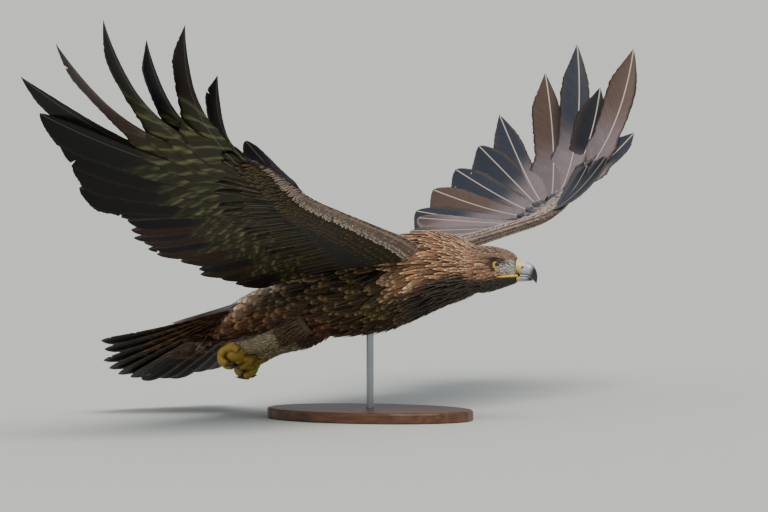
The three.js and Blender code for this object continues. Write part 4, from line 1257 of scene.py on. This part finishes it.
# The lids' rim: how far it runs from the eye's axis, how far out along it, and how thick it is
LID_RADIUS = 9.2
LID_OUT = 8.4
LID_ROLL = 1.3
def lids(side):
    around, tube = full_turn(64), full_turn(12)
    centre, axis, across = eye_place(side)
    middle = centre + axis * LID_OUT
    rim = across * np.cos(around)[:, None] + np.array([0, 0, 0.92]) * np.sin(around)[:, None]
    spread = (LID_RADIUS + LID_ROLL * np.cos(tube))[None, :, None]
    rings = middle + rim[:, None] * spread + axis * (LID_ROLL * np.sin(tube))[None, :, None]
    faces = [
        (r * 12 + k, r * 12 + (k + 1) % 12, (r + 1) % 64 * 12 + (k + 1) % 12, (r + 1) % 64 * 12 + k)
        for r in range(64)
        for k in range(12)
    ]
    piece = outward(mesh_object("lid", on_head(rings.reshape(-1, 3)), faces, WAXY_SKIN))
    return painted(piece, colour(0x3A3230))


def foot_place(side):
    place = np.array(FOOT, float) + FOOT_SHIFT[side]
    place[1] = side * LEG_OUT
    return place


# Front toes: place across the foot, radius, curl and where its arc starts and ends
TOES = [(-13, 6.2, 17, -60, 150), (0, 7, 20, -60, 165), (13, 6.2, 17, -60, 150)]
# The hind toe grips from the inner side: its radius, and its route as x, how far inward, z
HIND_TOE = (5.6, [(-10, 10, -12), (0, 17, -19), (-8, 22, -25), (-18, 24, -27)])


def toe_lines(side):
    """The radius and middle line of each of a foot's four toes."""
    lines = []
    for out, radius, curl, start, end in TOES:
        centre = foot_place(side) + (-16, out, -10)
        angles = np.radians(np.linspace(start, end, 9)) - math.pi / 2
        across = centre[1] + 0 * angles
        line = (centre[0] - curl * 1.1 * np.cos(angles), across, centre[2] - curl * 0.8 * np.sin(angles))
        lines.append((radius, np.stack(line, 1)))
    radius, route = HIND_TOE
    lines.append((radius, np.array([foot_place(side) + (x, -side * inward, z) for x, inward, z in route])))
    return lines


# Half sizes of the pad under the toes, and where its middle is from the foot's place
PAD = (15, 16, 12.4)
PAD_PLACE = (-14, 0, -8)
ANKLE_RADII = (9, 9.5, 9)
# How deep a knuckle's swelling is, and how many run along a toe
KNUCKLE = 0.09
KNUCKLES = 3.5


def foot(side, name):
    pieces = []
    for radius, line in toe_lines(side):
        along = np.arange(RINGS + 1) / RINGS
        knuckles = radius * (1 + KNUCKLE * np.cos(along * KNUCKLES * 2 * math.pi))
        pieces.append(loft("toe", to_world(rings_along(line, knuckles)), WAXY_SKIN))
    place = foot_place(side)
    u, v = np.meshgrid(np.linspace(0.04, math.pi - 0.04, 20), full_turn(28), indexing="ij")
    ball = np.stack([np.cos(u), np.sin(u) * np.cos(v), np.sin(u) * np.sin(v)], -1) * PAD
    pieces.append(loft("pad", to_world(ball + place + PAD_PLACE), WAXY_SKIN))
    ankle = rings_along([place + (14, 0, 1), place + (0, 0, -2), place + (-12, 0, -6)], ANKLE_RADII)
    pieces.append(loft("ankle", to_world(ankle), WAXY_SKIN))
    # The feet's own yellow, painted darker than the cere's and the gape's as painted shade
    return painted(join(name, pieces), colour(0x9A7E24))


# A claw runs on from its toe: how far along and how far up, and its radius there
CLAW = [(-3, 0, 3.8), (8, 1, 2.6), (15.6, 5, 0.4)]


def claw(line, name):
    end = line[-1]
    way = unit(line[-1] - line[-2])
    points = [end + way * out + (0, 0, up) for out, up, _ in CLAW]
    piece = loft(name, to_world(rings_along(points, [row[2] for row in CLAW])), HORN)
    return painted(piece, colour(0x16161A))


def leg(side, name):
    """A short-feathered leg folded back below the tail."""
    place = foot_place(side)
    thigh = [(-215, side * (LEG_OUT - 8), -84), (-262, side * LEG_OUT, -100), (-310, side * LEG_OUT, -106)]
    points = thigh + [tuple(place + (6, 0, 2))]
    radii = lerp(24, 10, np.linspace(0, 1, 12) ** 0.8)
    rings = rings_along(points, radii - 1.5, sides=32)
    skin = loft(name + "_skin", to_world(rings), UNDERCOAT)
    painted(skin, colour(0x5A4C34))
    plumes = Plumes(**TINY)
    line = rings.mean(1)
    count = 22
    for r in range(1, RINGS):
        angle = (np.arange(count) + rng.uniform(-0.3, 0.3, count)) / count * 2 * math.pi + rng.uniform(0, 1)
        spot = (angle / (2 * math.pi) * 32) % 32
        low = spot.astype(int) % 32
        root = lerp(rings[r, low], rings[r, (low + 1) % 32], (spot - spot.astype(int))[:, None])
        out = unit(root - line[r])
        way = unit(line[min(r + 1, RINGS - 1)] - line[r - 1]) + 0 * out
        length = rng.uniform(13, 19, count)
        t = plumes.places[None, :, None]
        lifted = out[:, None] * (lerp(-1.2, 1.6, t))
        centre_line = root[:, None] + way[:, None] * length[:, None, None] * t + lifted
        shape = vane_shape(plumes.places, 0.6, base=0.6, tip=0.15)[None].repeat(count, 0)
        pale = colour(0x9A8A6C) if r > 8 else colour(0x5C4632)
        colours = paint(plumes, count, pale, pale * 1.3, pale * 1.5, 0.6, 0.6, 0.05, 0.15)
        up = np.broadcast_to(out[:, None], centre_line.shape)
        lead = np.broadcast_to(unit(np.cross(out, way))[:, None], centre_line.shape)
        home = np.stack([np.full(count, r / 25), angle % (2 * math.pi) / (2 * math.pi)], 1)
        plumes.add(centre_line, lead, up, length, 6.5, shape, colours, colours * SHADED, home)
    coat = plumes.make(name + "_feathers", SOFT_FEATHER)
    return skin, coat


def ride(piece, slot, *nodes):
    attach(piece, "root")
    if nodes:
        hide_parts(*nodes)


# Put together

ride(body_skin(), "body_feathers", "torso", "neck", "head")
neck_arc, head_arc, face_arc = BODY_ARC[NECK_START], BODY_ARC[HEAD_START], BODY_ARC[-1]
torso_coat = body_coat("torso_feathers", 0, neck_arc - 20, torso_length, 0.4, SMALL, 2.4, 0.75, 0.24)
ride(torso_coat, "body_feathers")
neck_span = (neck_arc - 25, head_arc + 18)
neck_coat = body_coat("neck_feathers", *neck_span, neck_length, 0.18, SMALL, 2.0, 0.85, 0.28)
ride(neck_coat, "hackle_feathers")
head_coat = body_coat("head_feathers", head_arc + 6, face_arc - 1, head_length, 0.26, SMALL, 1.0, 0.85, 0.32)
ride(head_coat, "hackle_feathers")
for name, side in (("left", 1), ("right", -1)):
    nodes = [f"wing_{name}_{part}" for part in ("upper_arm", "forearm", "hand")]
    ride(flight_feathers(side, f"wing_{name}_flight_feathers"), "flight_feathers", *nodes)
    ride(wing_flesh(side, f"wing_{name}_skin"), "wing_coverts")
    ride(covert_rows(side, 1, f"wing_{name}_upper_coverts", UPPER_ROWS), "wing_coverts")
    ride(covert_rows(side, -1, f"wing_{name}_under_coverts", UNDER_ROWS), "wing_coverts")
    ride(alula(side, f"wing_{name}_alula"), "flight_feathers")
    leg_skin, leg_coat = leg(side, f"leg_{name}")
    ride(leg_skin, "leg_feathers", f"leg_{name}")
    ride(leg_coat, "leg_feathers")
    ride(foot(side, f"foot_{name}_skin"), "bare_skin", f"foot_{name}")
    for i, (_, line) in enumerate(toe_lines(side)):
        ride(claw(line, f"talon_{name}_{i + 1}"), "horn", f"claw_{name}_{i + 1}")
    ride(eyeball(side, f"eyeball_{name}"), "eye", f"eye_{name}")
ride(tail_feathers(), "flight_feathers", "tail")
ride(tail_coverts(), "body_feathers")
ride(bill_part("cere_skin", CERE_ROWS, 70, WAXY_SKIN, cere_tone), "bare_skin", "cere")
ride(bill_part("upper_bill_horn", UPPER_BILL, 40, HORN, upper_bill_tone), "horn", "upper_bill")
ride(bill_part("lower_bill_horn", LOWER_BILL, 28, HORN, lower_bill_tone), "horn", "lower_bill")
ride(join("gape_folds", [gape(1), gape(-1)]), "bare_skin")
ride(join("eyelids", [lids(1), lids(-1)]), "bare_skin")
for node, look in (("stand_base", WALNUT), ("stand_rod", STEEL)):
    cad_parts[node].data.materials.clear()
    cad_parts[node].data.materials.append(look)

# Floor, light and camera

floor_shape = bmesh.new()
bmesh.ops.create_grid(floor_shape, x_segments=1, y_segments=1, size=400)
floor_mesh = bpy.data.meshes.new("floor")
floor_shape.to_mesh(floor_mesh)
floor_shape.free()
floor_mesh.materials.append(FLOOR)
floor = put_in_scene("floor", floor_mesh)

SKY_STRENGTH = 0.6
SUN_STRENGTH = 2.9
world = bpy.data.worlds.new("sky")
bpy.context.scene.world = world
world.use_nodes = True
sky = world.node_tree.nodes["Background"]
sky.inputs["Color"].default_value = (0.88, 0.93, 1.0, 1)
sky.inputs["Strength"].default_value = SKY_STRENGTH
sun = bpy.data.lights.new("soft_sun", "SUN")
sun.energy = SUN_STRENGTH
sun.angle = math.radians(35)
sun.color = (1.0, 0.96, 0.9)
lamp = put_in_scene("soft_sun", sun)
lamp.rotation_euler = Euler((math.radians(32), math.radians(14), math.radians(25)))

CAMERA_TURN = math.radians(26)
CAMERA_RISE = math.radians(3)
CAMERA_AWAY = 20.0
# The picture's size and where the point between the shoulders lies in it
PICTURE = (768, 512)
SHOULDERS_AT = (424.5, 248)
PIXELS_PER_METRE = 606
SENSOR = 36
back = Vector((math.sin(CAMERA_TURN), -math.cos(CAMERA_TURN), 0)) * math.cos(CAMERA_RISE)
back.z = math.sin(CAMERA_RISE)
right = Vector((math.cos(CAMERA_TURN), math.sin(CAMERA_TURN), 0))
up = back.cross(right)
across, above = (half / 2 - at for half, at in zip(PICTURE, SHOULDERS_AT))
aim = Vector(BIRD_PLACE) * MM + right * across / PIXELS_PER_METRE - up * above / PIXELS_PER_METRE
lens = bpy.data.cameras.new("camera")
lens.sensor_width = SENSOR
lens.lens = PIXELS_PER_METRE * CAMERA_AWAY / PICTURE[0] * SENSOR
lens.clip_end = 2000
camera = put_in_scene("camera", lens)
camera.rotation_mode = "QUATERNION"
camera.location = aim + back * CAMERA_AWAY
camera.rotation_quaternion = (-back).to_track_quat("-Z", "Y")
bpy.context.scene.camera = camera
